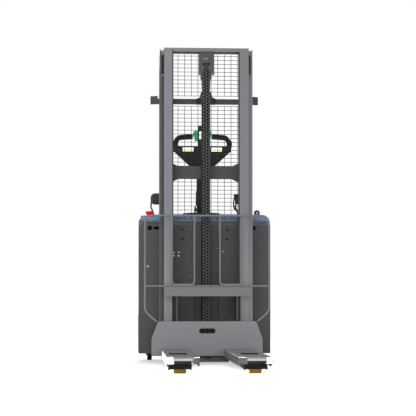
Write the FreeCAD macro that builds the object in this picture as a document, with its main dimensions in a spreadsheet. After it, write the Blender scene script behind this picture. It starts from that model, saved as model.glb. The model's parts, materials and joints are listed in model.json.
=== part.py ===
import FreeCAD, Part
import math
import os
import Sketcher
from FreeCAD import Placement, Rotation, Vector

# Lightweight pedestrian stacker: two-stage mast, forks over wheeled support legs, tiller steering.
# X runs across the truck, the forks point along -Y, Z is up. The origin is on the floor below the middle.

sizes = {
    # Support legs and load rollers
    "leg_centre": 205.5,
    "leg_width": 127,
    "leg_bottom": 25,
    "leg_top": 83,
    "leg_wall": 6,
    "leg_nose_setback": 65,
    "cheek_reach": 52,
    "cheek_bottom": 22,
    "cheek_top": 70,
    "cheek_toe": 18,
    "cheek_heel": 60,
    "cover_low": 24,
    "cover_top": 52,
    "cover_shoulder": 14,
    "cover_corner": 18,
    "cover_hook": 6,
    "cover_hook_width": 9,
    "cover_thickness": 6,
    "roller_axle_y": -740,
    "roller_radius": 40,
    "roller_width": 68,
    "roller_pin_radius": 10,
    "beam_front_y": 300,
    "beam_rear_y": 418,
    "beam_bottom": 12,
    "beam_top": 45,
    "foot_front_y": 282,
    "foot_half_width": 300,
    "foot_thickness": 12,
    # Fits
    "running_gap": 0.05,
    "seat_gap": 0.3,
    "slide_gap": 6,
    # Battery case
    "case_half_width": 415,
    "case_front_y": 442,
    "case_depth": 213,
    "case_rim_run": 74,
    "case_bottom": 60,
    "case_front_top": 871,
    "case_rim_top": 901,
    "case_sheet": 6,
    "oval_hole_inset": 110,
    "oval_hole_z": 849,
    "oval_hole_length": 38,
    "oval_hole_height": 18,
    "round_hole_x": 141,
    "round_hole_low_z": 779,
    "round_hole_high_z": 840,
    "round_hole_radius": 6,
    "socket_inset": 69,
    "socket_radius": 15,
    "bolt_grid_x": -180,
    "bolt_grid_z": 685,
    "bolt_grid_width": 32,
    "bolt_grid_height": 22,
    "bolt_grid_radius": 4,
    "battery_gap": 12,
    "battery_height": 620,
    "battery_side_gap": 19,
    "lid_inset": 15,
    "lid_top": 928,
    "lid_edge": 6,
    "bracket_low_z": 560,
    "bracket_high_z": 790,
    "bracket_height": 60,
    "bracket_thickness": 8,
    # Drive housing
    "skirt_overhang": 140,
    "skirt_top": 300,
    "skirt_wall": 3,
    "well_margin": 45,
    "skirt_corner": 90,
    "hood_inset": 7,
    "hood_setback": 10,
    "hood_waist_z": 620,
    "hood_top": 940,
    "hood_rake": 40,
    "hood_wall": 4,
    "hood_corner": 80,
    "hood_edge": 24,
    "drive_plate_z": 262,
    "drive_plate_thickness": 10,
    "motor_hole_radius": 88,
    # Steered drive unit
    "steer_setback": 180,
    "drive_wheel_radius": 115,
    "drive_wheel_width": 74,
    "drive_tyre_depth": 22,
    "drive_axle_radius": 20,
    "gearbox_width": 30,
    "gearbox_half_length": 60,
    "gearbox_drop": 55,
    "hub_case_radius": 68,
    "turntable_radius": 105,
    "turntable_thickness": 14,
    "motor_radius": 78,
    "motor_height": 190,
    "column_radius": 28,
    # Stabiliser casters
    "caster_inset": 75,
    "caster_setback": 15,
    "caster_trail": 24,
    "caster_radius": 40,
    "caster_width": 30,
    "caster_pin_radius": 6,
    "kingpin_radius": 8,
    "kingpin_height": 16,
    "yoke_wall": 4,
    "yoke_inner": 40,
    "yoke_plate_z": 88,
    "yoke_plate_thickness": 6,
    "yoke_front": 24,
    "yoke_rear": 32,
    "yoke_foot": 12,
    "bracket_plate_thickness": 8,
    "bracket_half_width": 30,
    # Outer mast
    "outer_web_out": 288,
    "outer_web": 12,
    "outer_flange_in": 252,
    "outer_front_y": 285,
    "outer_rear_y": 405,
    "outer_flange": 12,
    "outer_top": 1949,
    "slot_low_z": 1795,
    "slot_high_z": 1912,
    "slot_out": 272,
    "top_notch_width": 12,
    "top_notch_depth": 14,
    # Inner mast
    "inner_flange_in": 205,
    "inner_flange_out": 262,
    "inner_web_in": 236,
    "inner_web": 10,
    "inner_front_y": 250,
    "inner_rear_y": 357,
    "inner_flange": 12,
    "inner_bottom": 101,
    "mast_top": 1954,
    "head_plate": 12,
    "head_front_depth": 22,
    "head_rear_depth": 20,
    "tie_low_z": 112,
    "tie_high_z": 190,
    "tie_thickness": 12,
    # Guide rollers
    "guide_clearance": 0.5,
    "guide_stub_radius": 12,
    "guide_width": 21,
    "guide_side_gap": 4,
    "lower_guide_z": 152,
    "upper_guide_z": 1853,
    "carriage_guide_low_z": 152,
    "carriage_guide_high_z": 428,
    "carriage_guide_width": 25,
    # Lift cylinder, pulley and chain
    "ram_y": 322,
    "barrel_radius": 27.5,
    "barrel_bore": 22,
    "barrel_top": 1680,
    "barrel_floor": 14,
    "gland_radius": 31,
    "gland_height": 12,
    "gland_depth": 20,
    "clamp_half_width": 58,
    "clamp_ear_height": 25,
    "clamp_shoulder_half": 39,
    "clamp_shoulder_rise": 35,
    "clamp_top_half": 33,
    "clamp_front": 26,
    "clamp_rear": 63,
    "clamp_height": 60,
    "piston_rod_radius": 18,
    "piston_height": 30,
    "rod_bottom": 180,
    "neck_bottom": 1696,
    "neck_low_radius": 26,
    "neck_high_radius": 30,
    "crosshead_bottom": 1772,
    "crosshead_height": 14,
    "crosshead_depth": 44,
    "cheek_gap": 1,
    "cheek_plate": 10,
    "cheek_plate_top": 1942,
    "guard_half_width": 48.5,
    "guard_bottom": 1799,
    "guard_top": 1938,
    "guard_slot_top": 1862,
    "guard_thickness": 4,
    "guard_lug_width": 14,
    "guard_lug_drop": 11,
    "pulley_z": 1840,
    "chain_radius": 44,
    "chain_width": 34.6,
    "pulley_rim": 3,
    "pulley_width": 44,
    "pulley_pin_radius": 12,
    "chain_pitch": 19.05,
    "chain_plate_height": 16,
    "chain_plate_width": 8.4,
    "chain_plate_gap": 0.3,
    "chain_columns": 4,
    "chain_low_z": 178,
    "chain_rear_low_z": 1694,
    # Mast ties and screen
    "mid_tie_low_z": 1156,
    "mid_tie_high_z": 1236,
    "mid_tie_flare": 18,
    "mid_tie_flare_in": 168,
    "mid_tie_flare_out": 205,
    "screen_bar_low_z": 1636,
    "screen_bar_high_z": 1670,
    "screen_bar_half_width": 342,
    "screen_bar_depth": 12,
    "screen_bar_ear": 46,
    "screen_bar_bend": 16,
    "screen_bar_ear_rise": 17,
    "wire_size": 3.2,
    "wire_gap": 0.2,
    "wire_front_y": 463,
    "wire_pitch_x": 42,
    "wire_pitch_z": 25.3,
    "wire_columns": 11,
    "screen_low_z": 893,
    "screen_low_top_z": 1624,
    "screen_high_z": 1684,
    "screen_top_z": 1936,
    "screen_post_in": 262,
    "screen_wire_out": 275,
    "screen_strut_width": 10,
    "screen_post_depth": 5,
    "strut_height": 14,
    "strut_margin": 60,
    # Carriage and forks
    "face_y": 175,
    "carriage_plate": 15,
    "carriage_top": 266,
    "carriage_top_half": 300,
    "carriage_half_width": 340,
    "carriage_shoulder_z": 160,
    "carriage_bottom": 55,
    "carriage_slot_half": 50.5,
    "carriage_slot_low": 192,
    "carriage_slot_high": 223,
    "side_plate_out": 198,
    "side_plate": 18,
    "side_plate_bottom": 105,
    "side_plate_rear_y": 330,
    "fork_bar_half_width": 265,
    "fork_bar_low": 419,
    "fork_bar_high": 476,
    "fork_bar_thickness": 12,
    "cross_low_z": 118,
    "cross_high_z": 176,
    "cross_front_y": 240,
    "cross_thickness": 22,
    "anchor_margin": 4,
    "anchor_rise": 14,
    "fork_length": 1150,
    "fork_in": 105,
    "fork_width": 175,
    "fork_wall": 5,
    "fork_top": 95,
    "fork_deck": 6,
    "fork_bottom": 45,
    "fork_nose": 12,
    "fork_nose_rise": 10,
    "fork_tip_cut": 34,
    "fork_tip_cut_length": 62,
    "fork_tip_wall": 29,
    "fork_hole_centre": 203,
    "fork_hole_width": 105,
    "fork_hole_front_y": -568,
    "fork_hole_rear_y": -378,
    # Load backrest
    "rail_radius": 6,
    "rail_y": 184,
    "rail_half_width": 380,
    "rail_top": 913,
    "rail_corner": 45,
    "rail_bend_z": 327,
    "rail_bend_radius": 60,
    "rail_bend_steps": 3,
    "rail_foot_x": 300,
    "rail_foot_z": 258,
    "bar_inner_x": 78,
    "bar_outer_x": 215,
    # Controls on the hood
    "control_inset": 69,
    "control_setback": 51,
    "stop_radius": 24,
    "stop_neck_radius": 12,
    "stop_neck_height": 21,
    "stop_height": 38,
    "key_radius": 19,
    "key_rise": 8,
    "key_depth": 18,
    "key_face_radius": 12,
    "key_face_raise": 4,
    "key_foot": 12,
    "handle_setback": 17,
    "handle_in": 208,
    "handle_foot_out": 308,
    "handle_out": 338,
    "handle_right_trim": 26,
    "handle_leg": 13,
    "handle_elbow_z": 1004,
    "handle_pod_low": 1012,
    "handle_pod_top": 1085,
    "handle_shoulder": 18,
    "handle_depth": 30,
    "handle_edge": 7,
    # Tiller
    "base_radius": 124,
    "base_low": 950,
    "base_thickness": 14,
    "hinge_z": 990,
    "hinge_pin_radius": 10,
    "tiller_lean": 14,
    "hinge_ear_radius": 22,
    "hinge_lug_radius": 20,
    "ear_half_gap": 36,
    "ear_thickness": 10,
    "boot_half_width": 30,
    "boot_top": 75,
    "collar_low": 30,
    "collar_high": 120,
    "collar_half_width": 37,
    "shaft_half_width": 33,
    "shaft_half_depth": 20,
    "bowl_low": 282,
    "bowl_low_half": 74,
    "bowl_side_half": 186,
    "bowl_side_z": 385,
    "head_half_width": 195,
    "head_wide_z": 425,
    "head_shoulder": 36,
    "head_depth": 36,
    "head_edge": 8,
    "head_corner": 60,
    "grip_outer_top": 487,
    "grip_inner_top": 497,
    "grip_height": 28,
    "grip_in": 63,
    "window_low": 420,
    "window_out": 163,
    "window_corner": 18,
    "column_half_width": 28,
    "column_top": 556,
    "column_depth": 64,
    "pad_in": 57,
    "pad_out": 128,
    "pad_low": 389,
    "pad_high": 415,
    "pad_raise": 5,
    "rocker_reach": 60,
    "rocker_step": 10,
    "rocker_low": 455,
    "rocker_middle": 482,
    "rocker_high": 523,
    "rocker_depth": 34,
}

document = FreeCAD.newDocument("LightweightStacker")
sheet = document.addObject("Spreadsheet::Sheet", "Sizes")
for row, (alias, number) in enumerate(sizes.items(), start=1):
    sheet.set(f"A{row}", str(number))
    sheet.setAlias(f"A{row}", alias)
document.recompute()


class Size:
    """A number together with the sheet formula that it comes from."""

    def __init__(self, number, formula):
        self.number = float(number)
        self.formula = formula

    def __add__(self, other):
        other = as_size(other)
        return Size(self.number + other.number, f"({self.formula} + {other.formula})")

    def __sub__(self, other):
        other = as_size(other)
        return Size(self.number - other.number, f"({self.formula} - {other.formula})")

    def __mul__(self, other):
        other = as_size(other)
        return Size(self.number * other.number, f"({self.formula} * {other.formula})")

    def __truediv__(self, other):
        other = as_size(other)
        return Size(self.number / other.number, f"({self.formula} / {other.formula})")

    def __radd__(self, other):
        return as_size(other) + self

    def __rsub__(self, other):
        return as_size(other) - self

    def __rmul__(self, other):
        return as_size(other) * self

    def __neg__(self):
        return Size(-self.number, f"(0 - {self.formula})")

    def __float__(self):
        return self.number


def as_size(value):
    return value if isinstance(value, Size) else Size(value, f"({value})")


class Sheet:
    """Reads each size of the sheet by its name."""

    def __getattr__(self, alias):
        return Size(sheet.get(alias), f"Sizes.{alias}")


d = Sheet()
pieces = {}

# Rear of the truck: each place comes from the one before it.
case_rear_y = d.case_front_y + d.case_depth
case_rim_y = d.case_front_y + d.case_rim_run
steer_y = case_rear_y + d.steer_setback
skirt_rear_y = steer_y + d.skirt_overhang
hood_rear_y = skirt_rear_y - d.hood_setback
hood_top_rear_y = hood_rear_y - d.hood_rake
caster_stem_y = steer_y + d.caster_setback
stop_y = case_rear_y - d.control_setback
handle_y = case_rear_y + d.handle_setback


def bind(item, name, value):
    item.setExpression(name, as_size(value).formula)


def keep(label, item):
    """Makes a finished object one of the sub-parts, under its own label."""
    item.Label = label
    pieces[label] = item
    return item


def block(x, y, z):
    """Box between two values along each axis."""
    box = document.addObject("Part::Box", "Block")
    for axis, name, (low, high) in zip("xyz", ("Length", "Width", "Height"), (x, y, z)):
        bind(box, name, as_size(high) - low)
        bind(box, f"Placement.Base.{axis}", low)
    return box


def bar(radius, start, length, axis="z"):
    """Cylinder from a start point along one axis."""
    turns = {"x": Rotation(Vector(0, 1, 0), 90), "y": Rotation(Vector(1, 0, 0), -90), "z": Rotation()}
    cylinder = document.addObject("Part::Cylinder", "Bar")
    cylinder.Placement = Placement(Vector(), turns[axis])
    bind(cylinder, "Radius", radius)
    bind(cylinder, "Height", length)
    for name, value in zip("xyz", start):
        bind(cylinder, f"Placement.Base.{name}", value)
    return cylinder


def joined(*items):
    fuse = document.addObject("Part::MultiFuse", "Joined")
    fuse.Shapes = list(items)
    return fuse


def cut(base, *tools):
    result = document.addObject("Part::Cut", "Cut")
    result.Base = base
    result.Tool = tools[0] if len(tools) == 1 else joined(*tools)
    return result


def rounded(item, radius, chosen):
    """Rounds the edges for which the test on the edge is true."""
    document.recompute()
    fillet = document.addObject("Part::Fillet", "Rounded")
    fillet.Base = item
    size = float(radius)
    fillet.Edges = [(i, size, size) for i, edge in enumerate(item.Shape.Edges, 1) if chosen(edge)]
    return fillet


def bevelled(item, size, chosen):
    """Cuts a bevel along the edges for which the test on the edge is true."""
    document.recompute()
    bevel = document.addObject("Part::Chamfer", "Bevelled")
    bevel.Base = item
    reach = float(size)
    bevel.Edges = [(i, reach, reach) for i, edge in enumerate(item.Shape.Edges, 1) if chosen(edge)]
    return bevel


def together(*solids):
    """Separate solids, welded side by side, that belong to one sub-part."""
    compound = document.addObject("Part::Compound", "Together")
    compound.Links = list(solids)
    return compound


def direction(edge):
    if not isinstance(edge.Curve, Part.Line):
        return ""
    vector = edge.Curve.Direction
    names = [name for name, part in zip("xyz", vector) if abs(abs(part) - 1) < 1e-6]
    return names[0] if names else "slanted"


def new_body(name):
    return document.addObject("PartDesign::Body", name)


def sketch_on(body, plane, corners, offset=0):
    """Closed outline through the corners, drawn on one of the body's own planes."""
    sketch = body.newObject("Sketcher::SketchObject", "Outline")
    support = [item for item in body.Origin.OriginFeatures if item.Role == f"{plane}_Plane"][0]
    sketch.AttachmentSupport = (support, [""])
    sketch.MapMode = "FlatFace"
    bind(sketch, "AttachmentOffset.Base.z", offset)
    points = [(as_size(across), as_size(up)) for across, up in corners]
    vectors = [Vector(float(across), float(up), 0) for across, up in points]
    count = len(points)
    for i in range(count):
        sketch.addGeometry(Part.LineSegment(vectors[i], vectors[(i + 1) % count]), False)
    for i in range(count):
        sketch.addConstraint(Sketcher.Constraint("Coincident", i, 2, (i + 1) % count, 1))
    for i, point in enumerate(points):
        for kind, value in zip(("DistanceX", "DistanceY"), point):
            number = sketch.addConstraint(Sketcher.Constraint(kind, -1, 1, i, 1, float(value)))
            sketch.setExpression(f"Constraints[{number}]", value.formula)
    return sketch


def plane_offset(plane, low, high, pocket=False):
    """Where the sketch lies so that a pad or pocket fills the stretch from low to high."""
    if plane == "XZ":
        return -as_size(low if pocket else high)
    return high if pocket else low


def pad(body, plane, corners, low, high):
    feature = body.newObject("PartDesign::Pad", "Pad")
    feature.Profile = sketch_on(body, plane, corners, plane_offset(plane, low, high))
    bind(feature, "Length", as_size(high) - low)
    return feature


def pocket(body, plane, corners, low, high):
    feature = body.newObject("PartDesign::Pocket", "Pocket")
    feature.Profile = sketch_on(body, plane, corners, plane_offset(plane, low, high, True))
    bind(feature, "Length", as_size(high) - low)
    return feature


def prism(plane, corners, low, high):
    """Body with one outline carried straight from low to high."""
    body = new_body("Prism")
    pad(body, plane, corners, low, high)
    return body


def turned(outline, centre=(0, 0, 0), axis="z"):
    """Body of revolution: outline as (radius, height) pairs about the axis through the centre."""
    turns = {"x": Rotation(Vector(0, 1, 0), 90), "y": Rotation(Vector(1, 0, 0), -90), "z": Rotation()}
    body = new_body("Turned")
    body.Placement = Placement(Vector(), turns[axis])
    feature = body.newObject("PartDesign::Revolution", "Revolution")
    sketch = sketch_on(body, "XZ", outline)
    feature.Profile = sketch
    feature.ReferenceAxis = (sketch, ["V_Axis"])
    feature.Angle = 360
    for name, value in zip("xyz", centre):
        bind(body, f"Placement.Base.{name}", value)
    return body


def across(side, inner, outer):
    """Span on one side of the truck, low value first."""
    return (inner, outer) if side > 0 else (-as_size(outer), -as_size(inner))


def mirrored(right):
    """Outline that is the same on both sides, from the corners of its right half."""
    return [(-as_size(x), z) for x, z in reversed(right)] + right


def on_face(edge, y):
    """True for an edge that lies wholly in the plane at this y."""
    box = edge.BoundBox
    return abs(box.YMin - float(y)) < 0.01 and abs(box.YMax - float(y)) < 0.01


sides = {"left": -1, "right": 1}


def make_legs():
    leg_in = d.leg_centre - d.leg_width / 2
    leg_out = d.leg_centre + d.leg_width / 2
    nose_y = d.roller_axle_y + d.leg_nose_setback
    front_y = d.roller_axle_y - d.cheek_reach
    for name, side in sides.items():
        shell = block(across(side, leg_in, leg_out), (nose_y, d.case_front_y), (d.leg_bottom, d.leg_top))
        hollow = block(across(side, leg_in + d.leg_wall, leg_out - d.leg_wall),
                       (nose_y + d.leg_wall, d.case_front_y + 1), (d.leg_bottom - 1, d.leg_top - d.leg_wall))
        plates = []
        under = d.leg_top - d.leg_wall
        heel = nose_y + d.cheek_heel
        for low in (leg_in, leg_out - d.leg_wall):
            span = across(side, low, low + d.leg_wall)
            profile = [(front_y, d.cheek_bottom + d.cheek_toe), (front_y + d.cheek_toe, d.cheek_bottom),
                       (heel - d.cheek_toe, d.cheek_bottom), (heel, d.leg_bottom), (heel, under),
                       (nose_y, under),
                       (nose_y - 2 * d.cheek_toe, d.cheek_top), (front_y, d.cheek_top - d.cheek_toe)]
            plates.append(prism("YZ", profile, span[0], span[1]))
        pin = bar(d.roller_pin_radius, (across(side, leg_in, leg_out)[0], d.roller_axle_y, d.roller_radius),
                  d.leg_width, "x")
        keep(f"support_leg_{name}", joined(cut(shell, hollow), *plates, pin))
        half = d.leg_width / 2
        outline = mirrored([(half - d.cover_hook_width, d.cover_low), (half, d.cover_low - d.cover_hook),
                            (half, d.cover_top - d.cover_shoulder), (half - d.cover_corner, d.cover_top)])
        keep(f"nose_cover_{name}", prism("XZ", [(side * d.leg_centre + x, z) for x, z in outline],
                                         front_y - d.cover_thickness, front_y))
        bore = d.roller_pin_radius + d.running_gap
        half = d.roller_width / 2
        keep(f"load_roller_{name}", turned([(bore, -half), (d.roller_radius, -half), (d.roller_radius, half),
                                            (bore, half)],
                                           (side * d.leg_centre, d.roller_axle_y, d.roller_radius), "x"))
    keep("floor_beam", block((-leg_in, leg_in), (d.beam_front_y, d.beam_rear_y),
                             (d.beam_bottom, d.beam_top)))
    keep("mast_foot", block((-d.foot_half_width, d.foot_half_width), (d.foot_front_y, d.case_front_y),
                            (d.leg_top, d.leg_top + d.foot_thickness)))


def make_case():
    sheet_in = d.case_sheet
    front_in = d.case_front_y + sheet_in
    outer = [(d.case_front_y, d.case_bottom), (case_rear_y, d.case_bottom), (case_rear_y, d.case_rim_top),
             (case_rim_y, d.case_rim_top), (d.case_front_y, d.case_front_top)]
    inner = [(front_in, d.case_bottom + sheet_in), (case_rear_y - sheet_in, d.case_bottom + sheet_in),
             (case_rear_y - sheet_in, d.case_rim_top - sheet_in), (case_rim_y, d.case_rim_top - sheet_in),
             (front_in, d.case_front_top - sheet_in)]
    case = new_body("Case")
    pad(case, "YZ", outer, -d.case_half_width, d.case_half_width)
    pocket(case, "YZ", inner, -d.case_half_width + sheet_in, d.case_half_width - sheet_in)
    wall = (d.case_front_y - 1, front_in + 1)
    reach = wall[1] - wall[0]
    holes = []
    for side in sides.values():
        half = (d.oval_hole_length - d.oval_hole_height) / 2
        middle = side * (d.case_half_width - d.oval_hole_inset)
        for end in (-1, 1):
            holes.append(bar(d.oval_hole_height / 2, (middle + end * half, wall[0], d.oval_hole_z), reach,
                             "y"))
        holes.append(block((middle - half, middle + half), wall,
                           (d.oval_hole_z - d.oval_hole_height / 2, d.oval_hole_z + d.oval_hole_height / 2)))
        for height in (d.round_hole_low_z, d.round_hole_high_z):
            holes.append(bar(d.round_hole_radius, (side * d.round_hole_x, wall[0], height), reach, "y"))
    holes.append(bar(d.socket_radius, (d.socket_inset - d.case_half_width, wall[0], d.oval_hole_z), reach,
                     "y"))
    for across_sign in (-1, 1):
        for up_sign in (-1, 1):
            holes.append(bar(d.bolt_grid_radius, (d.bolt_grid_x + across_sign * d.bolt_grid_width / 2,
                                                  wall[0],
                                                  d.bolt_grid_z + up_sign * d.bolt_grid_height / 2), reach,
                             "y"))
    keep("battery_case", cut(case, *holes))
    middle = (front_in + case_rear_y - sheet_in) / 2
    half_length = (case_rear_y - sheet_in - front_in) / 2 - d.battery_gap
    half_width = d.case_half_width - sheet_in - d.battery_side_gap
    keep("battery_block", block((-half_width, half_width),
                                (middle - half_length, middle + half_length),
                                (d.case_bottom + sheet_in, d.case_bottom + sheet_in + d.battery_height)))
    lid_half = d.case_half_width - d.lid_inset
    lid = block((-lid_half, lid_half), (case_rim_y, case_rear_y), (d.case_rim_top, d.lid_top))
    top = float(d.lid_top)
    keep("battery_lid", rounded(lid, d.lid_edge, lambda edge: edge.CenterOfMass.z > top - 1))
    brackets = []
    for side in sides.values():
        for low in (d.bracket_low_z, d.bracket_high_z):
            for inner in (d.outer_flange_in, d.outer_web_out - d.bracket_thickness):
                brackets.append(block(across(side, inner, inner + d.bracket_thickness),
                                      (d.outer_rear_y, d.case_front_y),
                                      (low, low + d.bracket_height)))
    keep("mast_brackets", together(*brackets))


def make_skirt_and_hood():
    def plan(half_width, rear_y, low, high, corner):
        box = block((-half_width, half_width), (case_rear_y, rear_y), (low, high))
        rear = float(rear_y)
        return rounded(box, corner, lambda edge: direction(edge) == "z" and edge.CenterOfMass.y > rear - 1)

    skirt = plan(d.case_half_width, skirt_rear_y, d.case_bottom, d.skirt_top, d.skirt_corner)
    inside = plan(d.case_half_width - d.skirt_wall, skirt_rear_y - d.skirt_wall, d.case_bottom - 1,
                  d.skirt_top - d.skirt_wall, d.skirt_corner - d.skirt_wall)
    well = block((d.skirt_corner - d.case_half_width, d.case_half_width - d.skirt_corner),
                 (case_rear_y + d.well_margin, skirt_rear_y - d.well_margin),
                 (d.skirt_top - d.skirt_wall - 1, d.skirt_top + 1))
    keep("drive_skirt", cut(skirt, inside, well))

    front = float(case_rear_y)

    def moulding(inset):
        half = d.case_half_width - d.hood_inset - inset
        profile = [(case_rear_y, d.skirt_top), (hood_rear_y - inset, d.skirt_top),
                   (hood_rear_y - inset, d.hood_waist_z), (hood_top_rear_y - inset, d.hood_top - inset),
                   (case_rear_y, d.hood_top - inset)]
        body = prism("YZ", profile, -half, half)
        return rounded(body, d.hood_corner - inset,
                       lambda edge: direction(edge) in ("z", "slanted") and edge.CenterOfMass.y > front + 1
                       and abs(edge.CenterOfMass.x) > float(half) - 1)

    top = float(d.hood_top)
    outside = bevelled(moulding(0), d.hood_edge,
                       lambda edge: edge.BoundBox.ZMin > top - 1 and edge.CenterOfMass.y > front + 1)
    inside = bevelled(moulding(d.hood_wall), d.hood_edge,
                      lambda edge: edge.BoundBox.ZMin > top - float(d.hood_wall) - 1
                      and edge.CenterOfMass.y > front + 1)
    opening = bar(d.column_radius + d.slide_gap, (0, steer_y, d.skirt_top), d.hood_top - d.skirt_top + 1)
    keep("drive_hood", cut(outside, inside, opening))
    plate = block((d.skirt_wall - d.case_half_width, d.case_half_width - d.skirt_wall),
                  (case_rear_y, skirt_rear_y - d.skirt_corner),
                  (d.drive_plate_z, d.drive_plate_z + d.drive_plate_thickness))
    hole = bar(d.motor_hole_radius, (0, steer_y, d.drive_plate_z - 1), d.drive_plate_thickness + 2)
    keep("drive_plate", cut(plate, hole))


def make_drive():
    centre = (0, steer_y, d.drive_wheel_radius)
    half = d.drive_wheel_width / 2
    rim = d.drive_wheel_radius - d.drive_tyre_depth
    bore = d.drive_axle_radius + d.running_gap
    keep("drive_hub", turned([(bore, -half), (rim, -half), (rim, half), (bore, half)], centre, "x"))
    keep("drive_tyre", turned([(rim, -half), (d.drive_wheel_radius, -half), (d.drive_wheel_radius, half),
                               (rim, half)],
                              centre, "x"))
    top = d.drive_plate_z - d.seat_gap
    gear_in = half + d.slide_gap
    gearbox = block((gear_in, gear_in + d.gearbox_width),
                    (steer_y - d.gearbox_half_length, steer_y + d.gearbox_half_length),
                    (d.drive_wheel_radius - d.gearbox_drop, top - d.turntable_thickness))
    hubcase = bar(d.hub_case_radius, (gear_in, steer_y, d.drive_wheel_radius), d.gearbox_width, "x")
    axle = bar(d.drive_axle_radius, (-half, steer_y, d.drive_wheel_radius), half + gear_in + 1, "x")
    table = bar(d.turntable_radius, (0, steer_y, top - d.turntable_thickness), d.turntable_thickness)
    motor = bar(d.motor_radius, (0, steer_y, top), d.motor_height)
    column = bar(d.column_radius, (0, steer_y, top), d.base_low - top)
    keep("drive_unit", joined(gearbox, hubcase, axle, table, motor, column))


def make_casters():
    for name, side in sides.items():
        x = side * (d.case_half_width - d.caster_inset)
        half = d.bracket_half_width
        bottom = d.yoke_plate_z + d.yoke_plate_thickness + d.seat_gap
        plate = block((x - half, x + half), (caster_stem_y - half, caster_stem_y + half),
                      (bottom, bottom + d.bracket_plate_thickness))
        hole = bar(d.kingpin_radius + d.running_gap, (x, caster_stem_y, bottom - 1),
                   d.bracket_plate_thickness + 2)
        post = block((x - half, x + half),
                     (caster_stem_y - half, caster_stem_y - half + d.bracket_plate_thickness),
                     (bottom, d.drive_plate_z))
        keep(f"caster_bracket_{name}", joined(cut(plate, hole), post))
        axle_y = caster_stem_y + d.caster_trail
        fork = []
        for low in (-d.yoke_inner / 2 - d.yoke_wall, d.yoke_inner / 2):
            profile = [(caster_stem_y - d.yoke_front, d.yoke_plate_z + 1),
                       (caster_stem_y + d.yoke_rear, d.yoke_plate_z + 1),
                       (axle_y + d.yoke_foot, d.caster_radius), (axle_y, d.caster_radius - d.yoke_foot),
                       (axle_y - d.yoke_foot, d.caster_radius)]
            fork.append(prism("YZ", profile, x + low, x + low + d.yoke_wall))
        outer = d.yoke_inner / 2 + d.yoke_wall
        top = block((x - outer, x + outer), (caster_stem_y - d.yoke_front, caster_stem_y + d.yoke_rear),
                    (d.yoke_plate_z, d.yoke_plate_z + d.yoke_plate_thickness))
        pin = bar(d.caster_pin_radius, (x - outer, axle_y, d.caster_radius), 2 * outer, "x")
        kingpin = bar(d.kingpin_radius, (x, caster_stem_y, d.yoke_plate_z),
                      d.yoke_plate_thickness + d.kingpin_height)
        keep(f"caster_yoke_{name}", joined(top, *fork, pin, kingpin))
        half_width = d.caster_width / 2
        bore = d.caster_pin_radius + d.running_gap
        keep(f"caster_wheel_{name}", turned([(bore, -half_width), (d.caster_radius, -half_width),
                                             (d.caster_radius, half_width), (bore, half_width)],
                                            (x, axle_y, d.caster_radius), "x"))


def make_outer_mast():
    foot = d.leg_top + d.foot_thickness
    for name, side in sides.items():
        web_in = d.outer_web_out - d.outer_web
        section = [(d.outer_flange_in, d.outer_front_y), (d.outer_web_out, d.outer_front_y),
                   (d.outer_web_out, d.outer_rear_y), (d.outer_flange_in, d.outer_rear_y),
                   (d.outer_flange_in, d.outer_rear_y - d.outer_flange),
                   (web_in, d.outer_rear_y - d.outer_flange),
                   (web_in, d.outer_front_y + d.outer_flange),
                   (d.outer_flange_in, d.outer_front_y + d.outer_flange)]
        body = new_body("OuterUpright")
        pad(body, "XY", [(side * x, y) for x, y in section], foot, d.outer_top)
        slot = block(across(side, d.outer_flange_in - 1, d.slot_out),
                     (d.outer_front_y - 1, d.outer_front_y + d.outer_flange + 1),
                     (d.slot_low_z, d.slot_high_z))
        notch_low = d.outer_web_out - d.outer_web - d.top_notch_width
        notch = prism("XZ", [(side * notch_low, d.outer_top + 1),
                             (side * (d.outer_web_out - d.outer_web), d.outer_top - d.top_notch_depth),
                             (side * (d.outer_web_out - d.outer_web / 2), d.outer_top + 1)],
                      d.outer_front_y - 1, d.outer_front_y + d.outer_flange + 1)
        radius = guide_radius(d.inner_rear_y - d.inner_flange - (d.inner_front_y + d.inner_flange))
        middle = (d.inner_front_y + d.inner_flange + d.inner_rear_y - d.inner_flange) / 2
        start = web_in - d.guide_side_gap - d.guide_width
        wheel = bar(radius, (across(side, start, start + d.guide_width)[0], middle, d.upper_guide_z),
                    d.guide_width, "x")
        stub = bar(d.guide_stub_radius, (across(side, start, web_in + 1)[0], middle, d.upper_guide_z),
                   web_in + 1 - start, "x")
        keep(f"outer_mast_{name}", joined(cut(body, slot, notch), wheel, stub))


def guide_radius(channel):
    """Roller that runs in a channel of the given clear width."""
    return channel / 2 - d.guide_clearance


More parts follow.
